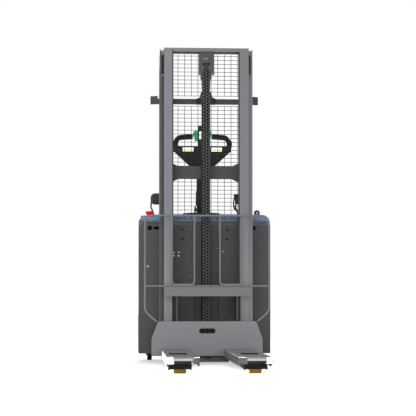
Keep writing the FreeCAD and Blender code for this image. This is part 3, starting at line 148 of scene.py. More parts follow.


# Colour, then: cloud and grain in mm, drift of the tone, roughness, bump, edge rounding in mm and the painted
# highlight along it
looks = {
    # Polyester powder coat baked on sheet steel: satin, faint orange peel, with a painted highlight that
    # makes it paler along each edge
    "powderCoatLightGrey": ("#77787c", {"cloud": 420, "grain": 2.2, "drift": 0.04, "rough": 0.34,
                                        "bump": 0.22, "edge": 2.0, "edgeHighlight": 0.35, "coat": 0.15}),
    # The light grey paint darkened: painted shade on the fork bar and the guard tab
    "powderCoatShadedGrey": ("#66676b", {"cloud": 420, "grain": 2.2, "drift": 0.04, "rough": 0.36, "bump": 0.22,
                                      "edge": 2.0, "edgeHighlight": 0.3, "coat": 0.1}),
    # A light, dull steel tone for the lips at the fork tips: painted highlight on the tips' fronts
    "paintedHighlightSteel": ("#c8c8ca", {"cloud": 260, "grain": 2.4, "drift": 0.1, "rough": 0.42, "metal": 0.3,
                              "bump": 0.2, "edge": 2.0, "edgeHighlight": 0.3}),
    # The case's coat made lighter for the band under the case top: painted light on the face turned upwards
    "powderCoatLitGrey": ("#5f6165", {"cloud": 380, "grain": 2.2, "drift": 0.06, "rough": 0.34, "bump": 0.2,
                                       "edge": 2.0, "edgeHighlight": 0.3}),
    # The same coat in a coarser dark grey texture paint: sandy to the eye, with tiny brighter grains
    "powderCoatDarkGrey": ("#444446", {"cloud": 500, "grain": 1.8, "drift": 0.06, "rough": 0.5, "bump": 0.4,
                                       "edge": 1.5, "edgeHighlight": 0.3, "speck": 0.35}),
    # Black chassis coat: semi-matt, almost even
    "powderCoatBlack": ("#29292b", {"cloud": 300, "grain": 1.6, "drift": 0.08, "rough": 0.45, "bump": 0.3,
                                    "edge": 1.2, "edgeHighlight": 0.5}),
    # Moulded ABS coloured through, fine spark-eroded grain
    "absBlue": ("#7096d6", {"cloud": 300, "grain": 1.0, "drift": 0.04, "rough": 0.38, "bump": 0.2,
                            "edge": 1.5, "edgeHighlight": 0.12, "ior": 1.54}),
    # The blue darkened: painted shade on the hood's end corners
    "absBlueShaded": ("#2c4c98", {"cloud": 200, "grain": 1.0, "drift": 0.05, "rough": 0.4, "bump": 0.2,
                                "ior": 1.54}),
    # Black ABS; it also paints the shade of the floor beam's slot and the shadow beside the guard tab
    "absBlackAndShade": ("#19191b", {"cloud": 120, "grain": 1.0, "drift": 0.1, "rough": 0.42, "bump": 0.4,
                             "edge": 1.0, "edgeHighlight": 0.5, "ior": 1.54}),
    # Glossy injection-moulded buttons: smooth skin, hardly any grain
    # The red glows a little: painted light that keeps the stop button bright
    "absRed": ("#e4000e", {"cloud": 60, "grain": 2, "drift": 0.03, "rough": 0.5, "bump": 0.05, "glow": 0.35}),
    # The same plastic in green and pale yellow, made to glow: painted light that keeps the colour clear in
    # the shade
    "absGreen": ("#08a86c", {"cloud": 60, "grain": 2, "drift": 0.03, "rough": 0.4, "bump": 0.06, "edge": 1.0,
                             "edgeHighlight": 0.2, "glow": 0.5}),
    "absPaleYellow": ("#fdf9cc", {"cloud": 40, "grain": 2, "drift": 0.05, "rough": 0.4, "bump": 0.08,
                                  "glow": 0.9}),
    # Blackened and oiled spring steel: dark, with a soft metallic glint
    "oiledSteel": ("#565658", {"cloud": 18, "grain": 2, "drift": 0.2, "rough": 0.42, "bump": 0.15,
                               "metal": 0.4}),
    # Matt black for the sheet behind the chain plates and the lining of the fork deck openings: painted shade
    "paintedShadeBlack": ("#060606", {"cloud": 12, "grain": 3, "drift": 0.3, "rough": 0.85, "bump": 0.4,
                                "ior": 1.35}),
    # Hard chrome, ground and polished: mirror-like with hairlines round the rod
    "chromedSteel": ("#c4c4c8", {"cloud": 80, "grain": 3, "drift": 0.02, "rough": 0.14, "bump": 0.03,
                                 "metal": 1.0, "brush": (0.2, 0.2, 4.0)}),
    # Turned and zinc-plated steel: bright, with tool marks
    "turnedSteel": ("#8b8c90", {"cloud": 60, "grain": 1.5, "drift": 0.06, "rough": 0.32, "bump": 0.15,
                                "metal": 0.9, "brush": (6.0, 1.0, 1.0)}),
    # Fresh zinc plate on the rivets, and a painted highlight along the fork deck edges: nearly white, faintly
    # clouded
    "zincAndPaintedHighlight": ("#e6e6e8", {"cloud": 30, "grain": 1, "drift": 0.05, "rough": 0.3, "bump": 0.05,
                               "metal": 0.3}),
    # Cast iron under a thin black paint: rough sand-cast skin
    "castIron": ("#363638", {"cloud": 60, "grain": 2.5, "drift": 0.12, "rough": 0.6, "bump": 0.6}),
    # Cast polyurethane tread: waxy ochre, slightly soiled
    "polyurethaneOchre": ("#b08600", {"cloud": 40, "grain": 2, "drift": 0.1, "rough": 0.6, "bump": 0.15,
                                      "ior": 1.4}),
    "polyurethaneBlack": ("#1e1e20", {"cloud": 60, "grain": 2, "drift": 0.08, "rough": 0.5, "bump": 0.15}),
    # Vulcanised rubber sleeve: matt and slightly grey; the same black also paints the shade in the mast's
    # gaps and slots
    "rubberAndShadeBlack": ("#101011", {"cloud": 50, "grain": 1.2, "drift": 0.12, "rough": 0.62, "bump": 0.35,
                           "ior": 1.45}),
}
materials = {name: finishOf(name, colour, settings) for name, (colour, settings) in looks.items()}

slotLooks = {
    "frame_black": "powderCoatBlack", "body_grey": "powderCoatDarkGrey", "hood_blue": "absBlue",
    "mast_grey": "powderCoatLightGrey", "barrel_black": "powderCoatBlack", "rod_chrome": "chromedSteel",
    "roller_steel": "turnedSteel", "chain_steel": "oiledSteel", "wire_black": "powderCoatBlack",
    "button_red": "absRed", "plastic_black": "absBlackAndShade", "button_yellow": "absPaleYellow",
    "button_green": "absGreen", "hub_iron": "castIron", "tyre_pu": "polyurethaneOchre",
    "caster_pu": "polyurethaneBlack",
}
nodeLooks = {
    "mast_mid_tie": "powderCoatDarkGrey", "screen_bar": "powderCoatDarkGrey",
    "pulley_frame": "powderCoatDarkGrey",
    # The fork bar in the darkened copy of the light grey: painted shade
    "fork_bar": "powderCoatShadedGrey", "floor_beam": "powderCoatLightGrey",
    "carriage_side_left": "powderCoatDarkGrey", "carriage_side_right": "powderCoatDarkGrey",
    "support_leg_left": "powderCoatDarkGrey", "support_leg_right": "powderCoatDarkGrey",
    "nose_cover_left": "rubberAndShadeBlack", "nose_cover_right": "rubberAndShadeBlack",
}
slotOf = {entry["node"]: entry["material_slot"] for entry in frame["record"]["subparts"]}


def dress():
    for name, node in frame["nodes"].items():
        look = nodeLooks.get(name, slotLooks[slotOf[name]])
        node.data.materials.clear()
        node.data.materials.append(materials[look])


dress()
print("stage: materials on the carried-over nodes")


# Shapes: each is a list of corners and a list of faces, in metres

axisTurns = {"x": Matrix.Rotation(math.pi / 2, 3, "Y"), "y": Matrix.Rotation(-math.pi / 2, 3, "X"),
             "z": Matrix.Identity(3)}
axisOrders = {"x": lambda a, b, c: (c, a, b), "y": lambda a, b, c: (a, c, b), "z": lambda a, b, c: (a, b, c)}


def extrude(outline, low, high, axis):
    order = axisOrders[axis]
    count = len(outline)
    corners = [Vector(order(a, b, c)) for c in (low, high) for a, b in outline]
    faces = [tuple(range(count)), tuple(range(2 * count - 1, count - 1, -1))]
    faces += [(i, (i + 1) % count, (i + 1) % count + count, i + count) for i in range(count)]
    return corners, faces


def box(low, high):
    rectangle = [(low[0], low[1]), (high[0], low[1]), (high[0], high[1]), (low[0], high[1])]
    return extrude(rectangle, low[2], high[2], "z")


def boxPair(near, far, depths, heights):
    pair = []
    for side in (-1, 1):
        left, right = sorted((side * near, side * far))
        pair.append(box((left, depths[0], heights[0]), (right, depths[1], heights[1])))
    return pair


def ringFaces(rings, count):
    faces = []
    for ring in range(rings - 1):
        for i in range(count):
            a = ring * count + i
            b = ring * count + (i + 1) % count
            faces.append((a, b, b + count, a + count))
    faces.append(tuple(range(count - 1, -1, -1)))
    faces.append(tuple((rings - 1) * count + i for i in range(count)))
    return faces


def lathe(profile, centre, axis, count=24):
    corners = []
    for radius, height in profile:
        for i in range(count):
            angle = 2 * math.pi * i / count
            corner = Vector((radius * math.cos(angle), radius * math.sin(angle), height))
            corners.append(axisTurns[axis] @ corner + Vector(centre))
    return corners, ringFaces(len(profile), count)


def tube(points, radius, count=12):
    points = [Vector(p) for p in points]
    corners = []
    side = None
    for i, point in enumerate(points):
        ahead = (points[min(i + 1, len(points) - 1)] - points[max(i - 1, 0)]).normalized()
        if side is None:
            side = ahead.orthogonal().normalized()
        side = (side - ahead * side.dot(ahead)).normalized()
        other = ahead.cross(side)
        for k in range(count):
            angle = 2 * math.pi * k / count
            corners.append(point + (side * math.cos(angle) + other * math.sin(angle)) * radius)
    return corners, ringFaces(len(points), count)


def roundedPath(points, radii, steps=8):
    points = [Vector(p) for p in points]
    path = [points[0]]
    for i in range(1, len(points) - 1):
        before = (points[i - 1] - points[i]).normalized()
        after = (points[i + 1] - points[i]).normalized()
        halfTurn = (math.pi - before.angle(after)) / 2
        inward = (before + after).normalized()
        centre = points[i] + inward * (radii[i - 1] / math.cos(halfTurn))
        sideways = (after - before).normalized()
        for step in range(steps + 1):
            angle = halfTurn * (2 * step / steps - 1)
            path.append(centre + (sideways * math.sin(angle) - inward * math.cos(angle)) * radii[i - 1])
    path.append(points[-1])
    return path


def roundedBox(left, right, low, high, corner, bulge):
    outline = []
    middle = (low + high) / 2
    for x, z, start in ((right - corner, low + corner, -90), (right - corner, high - corner, 0),
                        (left + corner, high - corner, 90), (left + corner, low + corner, 180)):
        for step in range(7):
            angle = math.radians(start + 15 * step)
            swell = bulge * (1 - abs(z + corner * math.sin(angle) - middle) / (high - middle))
            outline.append((x + corner * math.cos(angle) + math.copysign(swell, math.cos(angle)),
                            z + corner * math.sin(angle)))
    return outline


def moved(shape, matrix):
    corners, faces = shape
    return [matrix @ corner for corner in corners], faces


def makePiece(name, shapes, look, body, bevel=0.0, replaced=(), smooth=35):
    mesh = bpy.data.meshes.new(name)
    corners = []
    faces = []
    for shapeCorners, shapeFaces in shapes:
        start = len(corners)
        corners += shapeCorners
        faces += [tuple(index + start for index in face) for face in shapeFaces]
    mesh.from_pydata(corners, [], faces)
    work = bmesh.new()
    work.from_mesh(mesh)
    bmesh.ops.recalc_face_normals(work, faces=work.faces)
    work.to_mesh(mesh)
    work.free()
    mesh.shade_smooth()
    mesh.set_sharp_from_angle(angle=math.radians(smooth))
    mesh.materials.append(materials[look])
    piece = bpy.data.objects.new(name, mesh)
    bpy.context.scene.collection.objects.link(piece)
    if bevel:
        modifier = piece.modifiers.new("Edges", "BEVEL")
        modifier.width = bevel
        modifier.segments = 2
        modifier.limit_method = "ANGLE"
        modifier.harden_normals = True
    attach(piece, body)
    if replaced:
        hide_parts(*replaced)
    return piece


def boltHead(place, axis, size, towards=-1):
    corner = size * 0.577        # of a hexagon this size across its flats
    hexagon = [(corner * math.cos(math.pi * k / 3), corner * math.sin(math.pi * k / 3)) for k in range(6)]
    low, high = sorted((0, towards * size * 0.4))
    washerLow = low if towards > 0 else high - size * 0.12
    washer = [(size * 0.75, washerLow), (size * 0.75, washerLow + size * 0.12)]
    shapes = [extrude(hexagon, low, high, axis), lathe(washer, (0, 0, 0), axis, 20)]
    return [moved(shape, Matrix.Translation(Vector(place))) for shape in shapes]


# Lift chain: oiled link plates in five columns, the second and fourth with open gaps, over a black core sheet
# that paints the shade in the gaps

chainSettings = {
    "pin pitch": 0.009525, "plate depth": 0.0078, "waist": 0.0068,
    # From, to, plate length, phase
    "columns": ((-0.0205, -0.0138, 0.0188, 0), (-0.0136, -0.0040, 0.0096, 0), (-0.0038, 0.0038, 0.0188, 1),
                (0.0040, 0.0136, 0.0096, 1), (0.0138, 0.0205, 0.0188, 0)),
    "pin radius": 0.0024, "pin starts": (-0.0215, 0.0203), "pin end length": 0.0012,
    "front y": 0.278, "rear y": 0.366, "low": 0.178, "top": 1.84, "rear low": 0.294,
    "core half width": 0.0200, "core behind": 0.005, "core thickness": 0.0022, "core above": 0.004,
}


def linkPlate(start, end, centre, angle, length):
    depth = chainSettings["plate depth"]
    half = length / 2
    reach = min(depth, half * 0.8)        # how much of the length each rounded end takes
    right = [(half, 0), (half - 0.15 * reach, 0.6 * depth), (half - 0.6 * reach, depth),
             (0, chainSettings["waist"])]
    upper = right + [(-a, b) for a, b in reversed(right[:-1])]
    outline = upper + [(a, -b) for a, b in reversed(upper[1:-1])]
    cosine = math.cos(angle)
    sine = math.sin(angle)
    turned = [(centre[0] + b * cosine - a * sine, centre[1] + b * sine + a * cosine) for a, b in outline]
    return extrude(turned, start, end, "x")


def pinEnds(y, z):
    radius = chainSettings["pin radius"]
    length = chainSettings["pin end length"]
    return [lathe([(radius, start), (radius, start + length)], (0, y, z), "x", 8)
            for start in chainSettings["pin starts"]]


def chainRun(low, high, y):
    pitch = chainSettings["pin pitch"]
    shapes = []
    for row in range(int((high - low) / pitch)):
        z = high - (row + 0.5) * pitch
        shapes += pinEnds(y, z)
        for start, end, length, phase in chainSettings["columns"]:
            if row % 2 == phase:
                middle = min(max(z, low + length / 2), high - length / 2)
                shapes.append(linkPlate(start, end, (y, middle), 0.0, length))
    return shapes


def chainBend(radius, centre):
    count = int(math.pi * radius / chainSettings["pin pitch"])
    shapes = []
    for step in range(count + 1):
        angle = math.pi * step / count
        place = (centre[0] + radius * math.cos(angle), centre[1] + radius * math.sin(angle))
        shapes += pinEnds(place[0], place[1])
        for start, end, length, phase in chainSettings["columns"]:
            if step % 2 == phase:
                shapes.append(linkPlate(start, end, place, angle, length))
    return shapes


def makeChains():
    low = chainSettings["low"]
    top = chainSettings["top"]
    front = chainSettings["front y"]
    rear = chainSettings["rear y"]
    links = makePiece("chainFrontLinks", chainRun(low, top, front), "oiledSteel", "inner_mast",
                      replaced=("chain_front",))
    half = chainSettings["core half width"]
    coreFront = front + chainSettings["core behind"]
    # A black sheet behind the front links: painted shade in the gaps between the plates
    core = makePiece("chainFrontCore", [box((-half, coreFront, low + chainSettings["core above"]),
                                            (half, coreFront + chainSettings["core thickness"], top))],
                     "paintedShadeBlack", "inner_mast")
    for piece in (links, core):        # each gets a mesh of its own
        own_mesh(piece)
    makePiece("chainRearLinks", chainRun(chainSettings["rear low"], top, rear), "oiledSteel", "inner_mast",
              replaced=("chain_rear",))
    makePiece("chainOverPulley", chainBend((rear - front) / 2, ((front + rear) / 2, top)), "oiledSteel",
              "inner_mast")


makeChains()
print("stage: chains")


# Wire screen: round welded wires, upright ones in front

screenSettings = {
    "wire radius": 0.0017, "front y": 0.4646, "rear y": 0.4679, "pitch x": 0.042, "pitch z": 0.0253,
    "columns": 11, "reach": 0.275,
    # Bottom, top row, how far the upright wires end above it
    "panels": ((0.893, 1.624, 0.0), (1.684, 1.9423, 0.009)),
}


def wire(low, high, centre, axis):
    radius = screenSettings["wire radius"]
    cut = radius * 0.6        # the ends are snipped and slightly rounded
    profile = [(cut, low), (radius, low + radius * 0.5), (radius, high - radius * 0.5), (cut, high)]
    return lathe(profile, centre, axis, 8)


def makeScreen():
    reach = screenSettings["reach"]
    shapes = []
    for low, high, above in screenSettings["panels"]:
        for column in range(screenSettings["columns"]):
            x = (column - (screenSettings["columns"] - 1) / 2) * screenSettings["pitch x"]
            shapes.append(wire(low, high + above, (x, screenSettings["front y"], 0), "z"))
        for level in range(int((high - low) / screenSettings["pitch z"]) + 1):
            z = high - screenSettings["wire radius"] - level * screenSettings["pitch z"]
            shapes.append(wire(-reach, reach, (0, screenSettings["rear y"], z), "x"))
    makePiece("screenWires", shapes, "powderCoatBlack", "truck", replaced=("mesh_screen",))


makeScreen()
print("stage: screen")


# Load backrest: one bent tube, a level tube and two loops, with their weld beads

backrestSettings = {
    "radius": 0.006, "y": 0.184,
    "foot": (0.30928, 0.266),                # from the middle, height
    "bend": (0.38, 0.327, 0.06),             # from the middle, height, bend radius
    "corner": (0.38, 0.913, 0.045),
    "level": 0.482,
    "loop": (0.078, 0.215, 0.02),            # near and far upright from the middle, bend radius
    "bead": 0.0025, "foot bead": 0.003,
    "tack": ((0.0015, -0.008), (0.0035, -0.006), (0.0035, 0.006), (0.0015, 0.008)), "tack inset": 0.03,
}


def weldRing(centre, axis, radius, bead):
    profile = [(radius, -bead), (radius + bead * 0.8, -bead * 0.5), (radius + bead, 0),
               (radius + bead * 0.8, bead * 0.5), (radius, bead)]
    return lathe(profile, centre, axis, 16)


def makeBackrest():
    y = backrestSettings["y"]
    radius = backrestSettings["radius"]
    footX, footZ = backrestSettings["foot"]
    bendX, bendZ, bendRadius = backrestSettings["bend"]
    cornerX, cornerZ, cornerRadius = backrestSettings["corner"]
    near, far, loopRadius = backrestSettings["loop"]
    level = backrestSettings["level"]
    bead = backrestSettings["bead"]
    tackInset = backrestSettings["tack inset"]
    hoop = roundedPath([(-footX, y, footZ), (-bendX, y, bendZ), (-cornerX, y, cornerZ), (cornerX, y, cornerZ),
                        (bendX, y, bendZ), (footX, y, footZ)],
                       [bendRadius, cornerRadius, cornerRadius, bendRadius])
    shapes = [tube(hoop, radius, 16), tube([(-bendX, y, level), (bendX, y, level)], radius, 16)]
    for side in (-1, 1):
        shapes.append(weldRing((side * (bendX - radius), y, level), "x", radius, bead))
        shapes.append(weldRing((side * footX, y, footZ + 0.002), "z", radius, backrestSettings["foot bead"]))
        lift = level + 1.5 * radius
        loop = roundedPath([(side * near, y, cornerZ), (side * near, y, lift), (side * far, y, lift),
                            (side * far, y, cornerZ)], [loopRadius, loopRadius], 6)
        shapes.append(tube(loop, radius, 16))
        for x in (near, far):
            shapes.append(weldRing((side * x, y, cornerZ - radius), "z", radius, bead))
        for x in (near + tackInset, far - tackInset):
            shapes.append(lathe(backrestSettings["tack"], (side * x, y - radius * 0.8, level + 0.75 * radius),
                                "x", 12))
    makePiece("backrestTube", shapes, "powderCoatLightGrey", "carriage",
              replaced=("load_backrest",))


makeBackrest()
print("stage: backrest")


# Moulded pieces of the tiller: a copy of the CAD shape with soft, rounded edges

mouldSettings = {
    # Piece, look, slot, cell of the new skin in metres, rounds of smoothing
    "tiller_head": ("tillerHeadMoulded", "absBlackAndShade", "plastic_black", 0.0028, 6),
    "tiller_rockers": ("rockersMoulded", "absGreen", "button_green", 0.0015, 4),
    "tiller_pads": ("padsMoulded", "absPaleYellow", "button_yellow", 0.0015, 3),
}


def makeMoulded(node, name, look, slot, cell, rounds):
    piece = frame["nodes"][node].copy()
    piece.data = frame["nodes"][node].data.copy()
    piece.name = name
    piece.parent = None
    piece.matrix_world = Matrix.Identity(4)
    bpy.context.scene.collection.objects.link(piece)
    for key in [key for key in piece.keys() if key.startswith("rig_")]:
        del piece[key]
    skin = piece.modifiers.new("Skin", "REMESH")
    skin.mode = "VOXEL"
    skin.voxel_size = cell
    soften = piece.modifiers.new("Soften", "SMOOTH")
    soften.factor = 0.5
    soften.iterations = rounds
    graph = bpy.context.evaluated_depsgraph_get()
    graph.update()
    mesh = bpy.data.meshes.new_from_object(piece.evaluated_get(graph))
    piece.modifiers.clear()
    piece.data = mesh
    mesh.materials.clear()
    mesh.materials.append(materials[look])
    mesh.shade_smooth()
    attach(piece, "tiller")
    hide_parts(node)


for node, choices in mouldSettings.items():
    makeMoulded(node, *choices)
print("stage: moulded pieces")


# Grab handles: a thick moulded grip on two bent legs, with a lever loop on the right one

handleSettings = {
    "low": 1.012, "high": 1.085, "corner": 0.026, "bulge": 0.004, "edge": 0.009,
    "ribs": 6, "rib inset": 0.024, "rib half width": 0.0028, "rib low": 1.022, "rib high": 1.074,
    "rib corner": 0.0026, "rib raise": 0.0012,
    # Sideways places of each leg at its top, elbow, knee and foot; the right grip is the narrower one
    "legs": {"left": ((-0.3325, -0.335, -0.321, -0.316), (-0.2155, -0.213, -0.226, -0.230)),
             "right": ((0.3065, 0.309, 0.295, 0.290), (0.2155, 0.213, 0.226, 0.230))},
    "leg heights": (1.03, 0.995, 0.962, 0.938), "leg bends": (0.02, 0.03), "leg radius": 0.0052,
    "collar": ((0.0125, 0.9285), (0.0125, 0.932), (0.009, 0.936), (0.0065, 0.945)),      # radius, height
    "lever": ((0.245, 1.072), (0.206, 1.068), (0.1985, 1.022), (0.204, 0.976), (0.246, 0.972)),
    "lever bends": (0.022, 0.08, 0.022), "lever radius": 0.0045,
    "lever hub": ((0.004, -0.012), (0.0065, -0.009), (0.0065, 0.009), (0.004, 0.012)),
    "lever hub place": (0.212, 1.071),
}


def handleRibs(low, high):
    inset = handleSettings["rib inset"]
    half = handleSettings["rib half width"]
    step = (high.x - low.x - 2 * inset) / (handleSettings["ribs"] - 1)
    ribs = []
    for k in range(handleSettings["ribs"]):
        x = low.x + inset + k * step
        outline = roundedBox(x - half, x + half, handleSettings["rib low"], handleSettings["rib high"],
                             handleSettings["rib corner"], 0.0)
        ribs.append(extrude(outline, low.y - handleSettings["rib raise"], low.y + 0.002, "y"))
    return ribs


def makeHandles():
    bulge = handleSettings["bulge"]
    for name, legPlaces in handleSettings["legs"].items():
        low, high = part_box(f"grab_handle_{name}")
        middle = (low.y + high.y) / 2
        outline = roundedBox(low.x + bulge, high.x - bulge, handleSettings["low"], handleSettings["high"],
                             handleSettings["corner"], bulge)
        makePiece(f"handleGrip.{name}", [extrude(outline, low.y, high.y, "y")], "absBlackAndShade", "truck",
                  bevel=handleSettings["edge"], replaced=(f"grab_handle_{name}",))
        makePiece(f"handleRibs.{name}", handleRibs(low, high), "rubberAndShadeBlack", "truck")
        legs = []
        for places in legPlaces:
            points = [(x, middle, z) for x, z in zip(places, handleSettings["leg heights"])]
            path = roundedPath(points, handleSettings["leg bends"], 5)
            legs.append(tube(path, handleSettings["leg radius"]))
            legs.append(lathe(handleSettings["collar"], (places[-1], middle, 0), "z", 20))
        makePiece(f"handleLegs.{name}", legs, "powderCoatBlack", "truck")
    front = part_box("grab_handle_right")[0].y - 0.002
    loop = roundedPath([(x, front, z) for x, z in handleSettings["lever"]], handleSettings["lever bends"], 6)
    hubX, hubZ = handleSettings["lever hub place"]
    lever = [tube(loop, handleSettings["lever radius"]),
             lathe(handleSettings["lever hub"], (hubX, front, hubZ), "x", 16)]
    makePiece("leverLoop", lever, "rubberAndShadeBlack", "truck")


makeHandles()
print("stage: handles")


# Tiller trim, laid out on the upright tiller and then leant back with it: strips, bowl ribs and grip sleeves

tillerSettings = {
    "hinge": (0, 0.835, 0.99), "lean": 14,              # degrees
    "strip x": (-0.022, -0.009), "strip y": (-0.0345, -0.030), "strip z": ((0.471, 0.494), (0.497, 0.521)),
    "ribs": 7, "first rib": 0.05, "rib step": 0.016, "rib width": 0.005, "rib y": (-0.0205, -0.0165),
    "rib low": 0.296, "rib rise": 0.0117, "rib top": 0.382,
    "sleeve": ((0.067, 0.484), (0.156, 0.4775), (0.1795, 0.436), (0.172, 0.384)),
    "sleeve bends": (0.034, 0.06), "sleeve radius": 0.0158, "sleeve depth": 1.15,      # times its width
    "sleeve ring": ((0.0158, -0.004), (0.0168, -0.002), (0.0168, 0.002), (0.0158, 0.004)),
}


def onTiller(shape):
    lean = Matrix.Rotation(math.radians(tillerSettings["lean"]), 4, "X")
    return moved(shape, Matrix.Translation(tillerSettings["hinge"]) @ lean)


def makeTillerTrim():
    left, right = tillerSettings["strip x"]
    front, rear = tillerSettings["strip y"]
    strips = [onTiller(box((left, front, low), (right, rear, high)))
              for low, high in tillerSettings["strip z"]]
    makePiece("columnStrips", strips, "absPaleYellow", "tiller", bevel=0.001)
    ribs = []
    for k in range(tillerSettings["ribs"]):
        x = tillerSettings["first rib"] + tillerSettings["rib step"] * k
        heights = (tillerSettings["rib low"] + tillerSettings["rib rise"] * k, tillerSettings["rib top"])
        ribs += boxPair(x, x + tillerSettings["rib width"], tillerSettings["rib y"], heights)
    makePiece("bowlRibs", [onTiller(rib) for rib in ribs], "absBlackAndShade", "tiller",
              bevel=0.0008)
    sleeves = []
    deeper = Matrix.Scale(tillerSettings["sleeve depth"], 4, (0, 1, 0))
    for side in (-1, 1):
        path = roundedPath([(side * x, 0, z) for x, z in tillerSettings["sleeve"]],
                           tillerSettings["sleeve bends"], 6)
        startX, startZ = tillerSettings["sleeve"][0]
        sleeves.append(tube(path, tillerSettings["sleeve radius"], 20))
        sleeves.append(lathe(tillerSettings["sleeve ring"], (side * startX, 0, startZ), "x", 20))
    makePiece("gripSleeves", [onTiller(moved(shape, deeper)) for shape in sleeves], "rubberAndShadeBlack", "tiller")


makeTillerTrim()
print("stage: tiller trim")


# Stop button and key switch

controlSettings = {
    # Radius, height above its seat
    "mushroom": ((0.0150, 0.0), (0.0150, 0.003), (0.0130, 0.005), (0.0140, 0.011), (0.0180, 0.0150),
                 (0.0235, 0.0190), (0.0247, 0.0220), (0.0247, 0.0315), (0.0235, 0.0345), (0.0190, 0.0367),
                 (0.0100, 0.0378), (0.001, 0.038)),
    # How far within the switch's own radius, how far before its rear
    "rim": ((0.0, 0.0), (0.0, 0.010), (0.0015, 0.0165), (0.006, 0.018), (0.0075, 0.0150)),
    "face": 0.0145, "lock radius": 0.0085, "lock raise": 0.002,
    "foot half width": 0.012, "foot inset": 0.006,
    "blade": ((-0.0015, -0.006, -0.008), (0.0015, 0.0, 0.009)), "blade turn": -50,
}


def makeControls():
    low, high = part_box("stop_button")
    profile = [(radius, low.z + height) for radius, height in controlSettings["mushroom"]]
    makePiece("stopMushroom", [lathe(profile, ((low.x + high.x) / 2, (low.y + high.y) / 2, 0), "z", 40)],
              "absRed", "truck", replaced=("stop_button",), smooth=50)
    low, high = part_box("key_switch")
    x = (low.x + high.x) / 2
    radius = (high.x - low.x) / 2
    z = high.z - radius
    face = controlSettings["face"]
    rim = [(radius - inset, -before) for inset, before in controlSettings["rim"]] + [(0.001, -face)]
    half = controlSettings["foot half width"]
    foot = box((x - half, low.y + controlSettings["foot inset"], low.z), (x + half, high.y, z - radius * 0.5))
    makePiece("keyHousing", [lathe(rim, (x, high.y, z), "y", 36), foot], "rubberAndShadeBlack", "truck",
              replaced=("key_switch",), smooth=40)
    blade = box(*controlSettings["blade"])
    turn = Matrix.Rotation(math.radians(controlSettings["blade turn"]), 4, "Y")
    place = Matrix.Translation((x, high.y - face, z))
    lockRadius = controlSettings["lock radius"]
    lock = lathe([(lockRadius, -controlSettings["lock raise"]), (lockRadius, 0.0)], (0, 0, 0), "y", 24)
    makePiece("keyBlade", [moved(blade, place @ turn), moved(lock, place)], "turnedSteel", "truck",
              bevel=0.0004)


makeControls()
print("stage: controls")


# Screws, bolts and small plates

boltSettings = {
    "clamp": ((-0.047, 0.296, 1.633), (0.047, 0.296, 1.633)), "clamp size": 0.022,
    # Places on the case front, and the profile of what sits there: radius, height out of the sheet
    "case screws": ((-0.358, 0.608),), "screw": ((0.0062, -0.0022), (0.0062, -0.0010), (0.0045, 0.0)),
    "case rivets": ((-0.196, 0.696), (-0.196, 0.674), (-0.164, 0.696), (-0.164, 0.674)),
    "rivet": ((0.0040, -0.0022), (0.0046, -0.0008), (0.0046, 0.0)),
    "case plugs": ((0.1945, 0.702), (0.336, 0.703), (0.336, 0.452), (0.367, 0.794), (-0.131, 0.626)),
    "plug": ((0.0050, -0.0015), (0.0060, 0.0)),
    # Place and radius
    "small rivets": ((0.115, 0.702, 0.0032), (0.077, 0.720, 0.0016), (-0.133, 0.627, 0.0018),
                     (-0.113, 0.629, 0.0014), (-0.084, 0.594, 0.0016), (-0.179, 0.567, 0.0016),
                     (-0.089, 0.549, 0.0018), (-0.201, 0.723, 0.0016)),
    "axle size": 0.012,
    "nose half width": 0.0572, "nose y": (0.0005, 0.0045), "nose z": (0.046, 0.0812),
    "plate bolt x": 0.232, "plate bolt z": (0.232, 0.186), "plate bolt size": 0.014,
    # Sideways, before and behind the guard's front, height
    "guard tab": ((-0.020, 0.019), (-0.003, 0.001), (1.880, 1.898)),
    "tab shadow": ((0.012, 0.019), (-0.0045, -0.002), (1.881, 1.897)),
}


def onCase(places, profile):
    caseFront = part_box("battery_case")[0].y
    return [lathe(profile, (x, caseFront, z), "y", 16) for x, z in places]


def makeCaseFixings():
    screws = onCase(boltSettings["case screws"], boltSettings["screw"])
    makePiece("caseScrews", screws, "turnedSteel", "truck")
    rivets = onCase(boltSettings["case rivets"], boltSettings["rivet"])
    makePiece("caseRivets", rivets, "zincAndPaintedHighlight", "truck")
    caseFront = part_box("battery_case")[0].y
    small = [lathe([(radius * 0.7, -0.0012), (radius, -0.0004), (radius, 0.0)], (x, caseFront, z), "y", 12)
             for x, z, radius in boltSettings["small rivets"]]
    makePiece("caseSmallRivets", small, "zincAndPaintedHighlight", "truck")
    plugsAndShade = onCase(boltSettings["case plugs"], boltSettings["plug"])
    makePiece("casePlugs", plugsAndShade, "absBlackAndShade", "truck")


def makeLegFixings():
    noseFront, noseRear = boltSettings["nose y"]
    noseLow, noseHigh = boltSettings["nose z"]
    half = boltSettings["nose half width"]
    for name in ("left", "right"):
        low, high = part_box(f"support_leg_{name}")
        axle = sum(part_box(f"load_roller_{name}"), Vector()) / 2
        ends = []
        for edge, towards in ((low.x, -1), (high.x, 1)):
            ends += boltHead((edge, axle.y, axle.z), "x", boltSettings["axle size"], towards)
        makePiece(f"rollerPinEnds.{name}", ends, "turnedSteel", "truck")
        band = [box((axle.x - half, low.y + noseFront, noseLow), (axle.x + half, low.y + noseRear, noseHigh))]
        makePiece(f"noseBand.{name}", band, "powderCoatDarkGrey", "truck", bevel=0.001)


def onGuard(widths, depths, heights):
    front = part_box("pulley_frame")[0].y
    return [box((widths[0], front + depths[0], heights[0]), (widths[1], front + depths[1], heights[1]))]


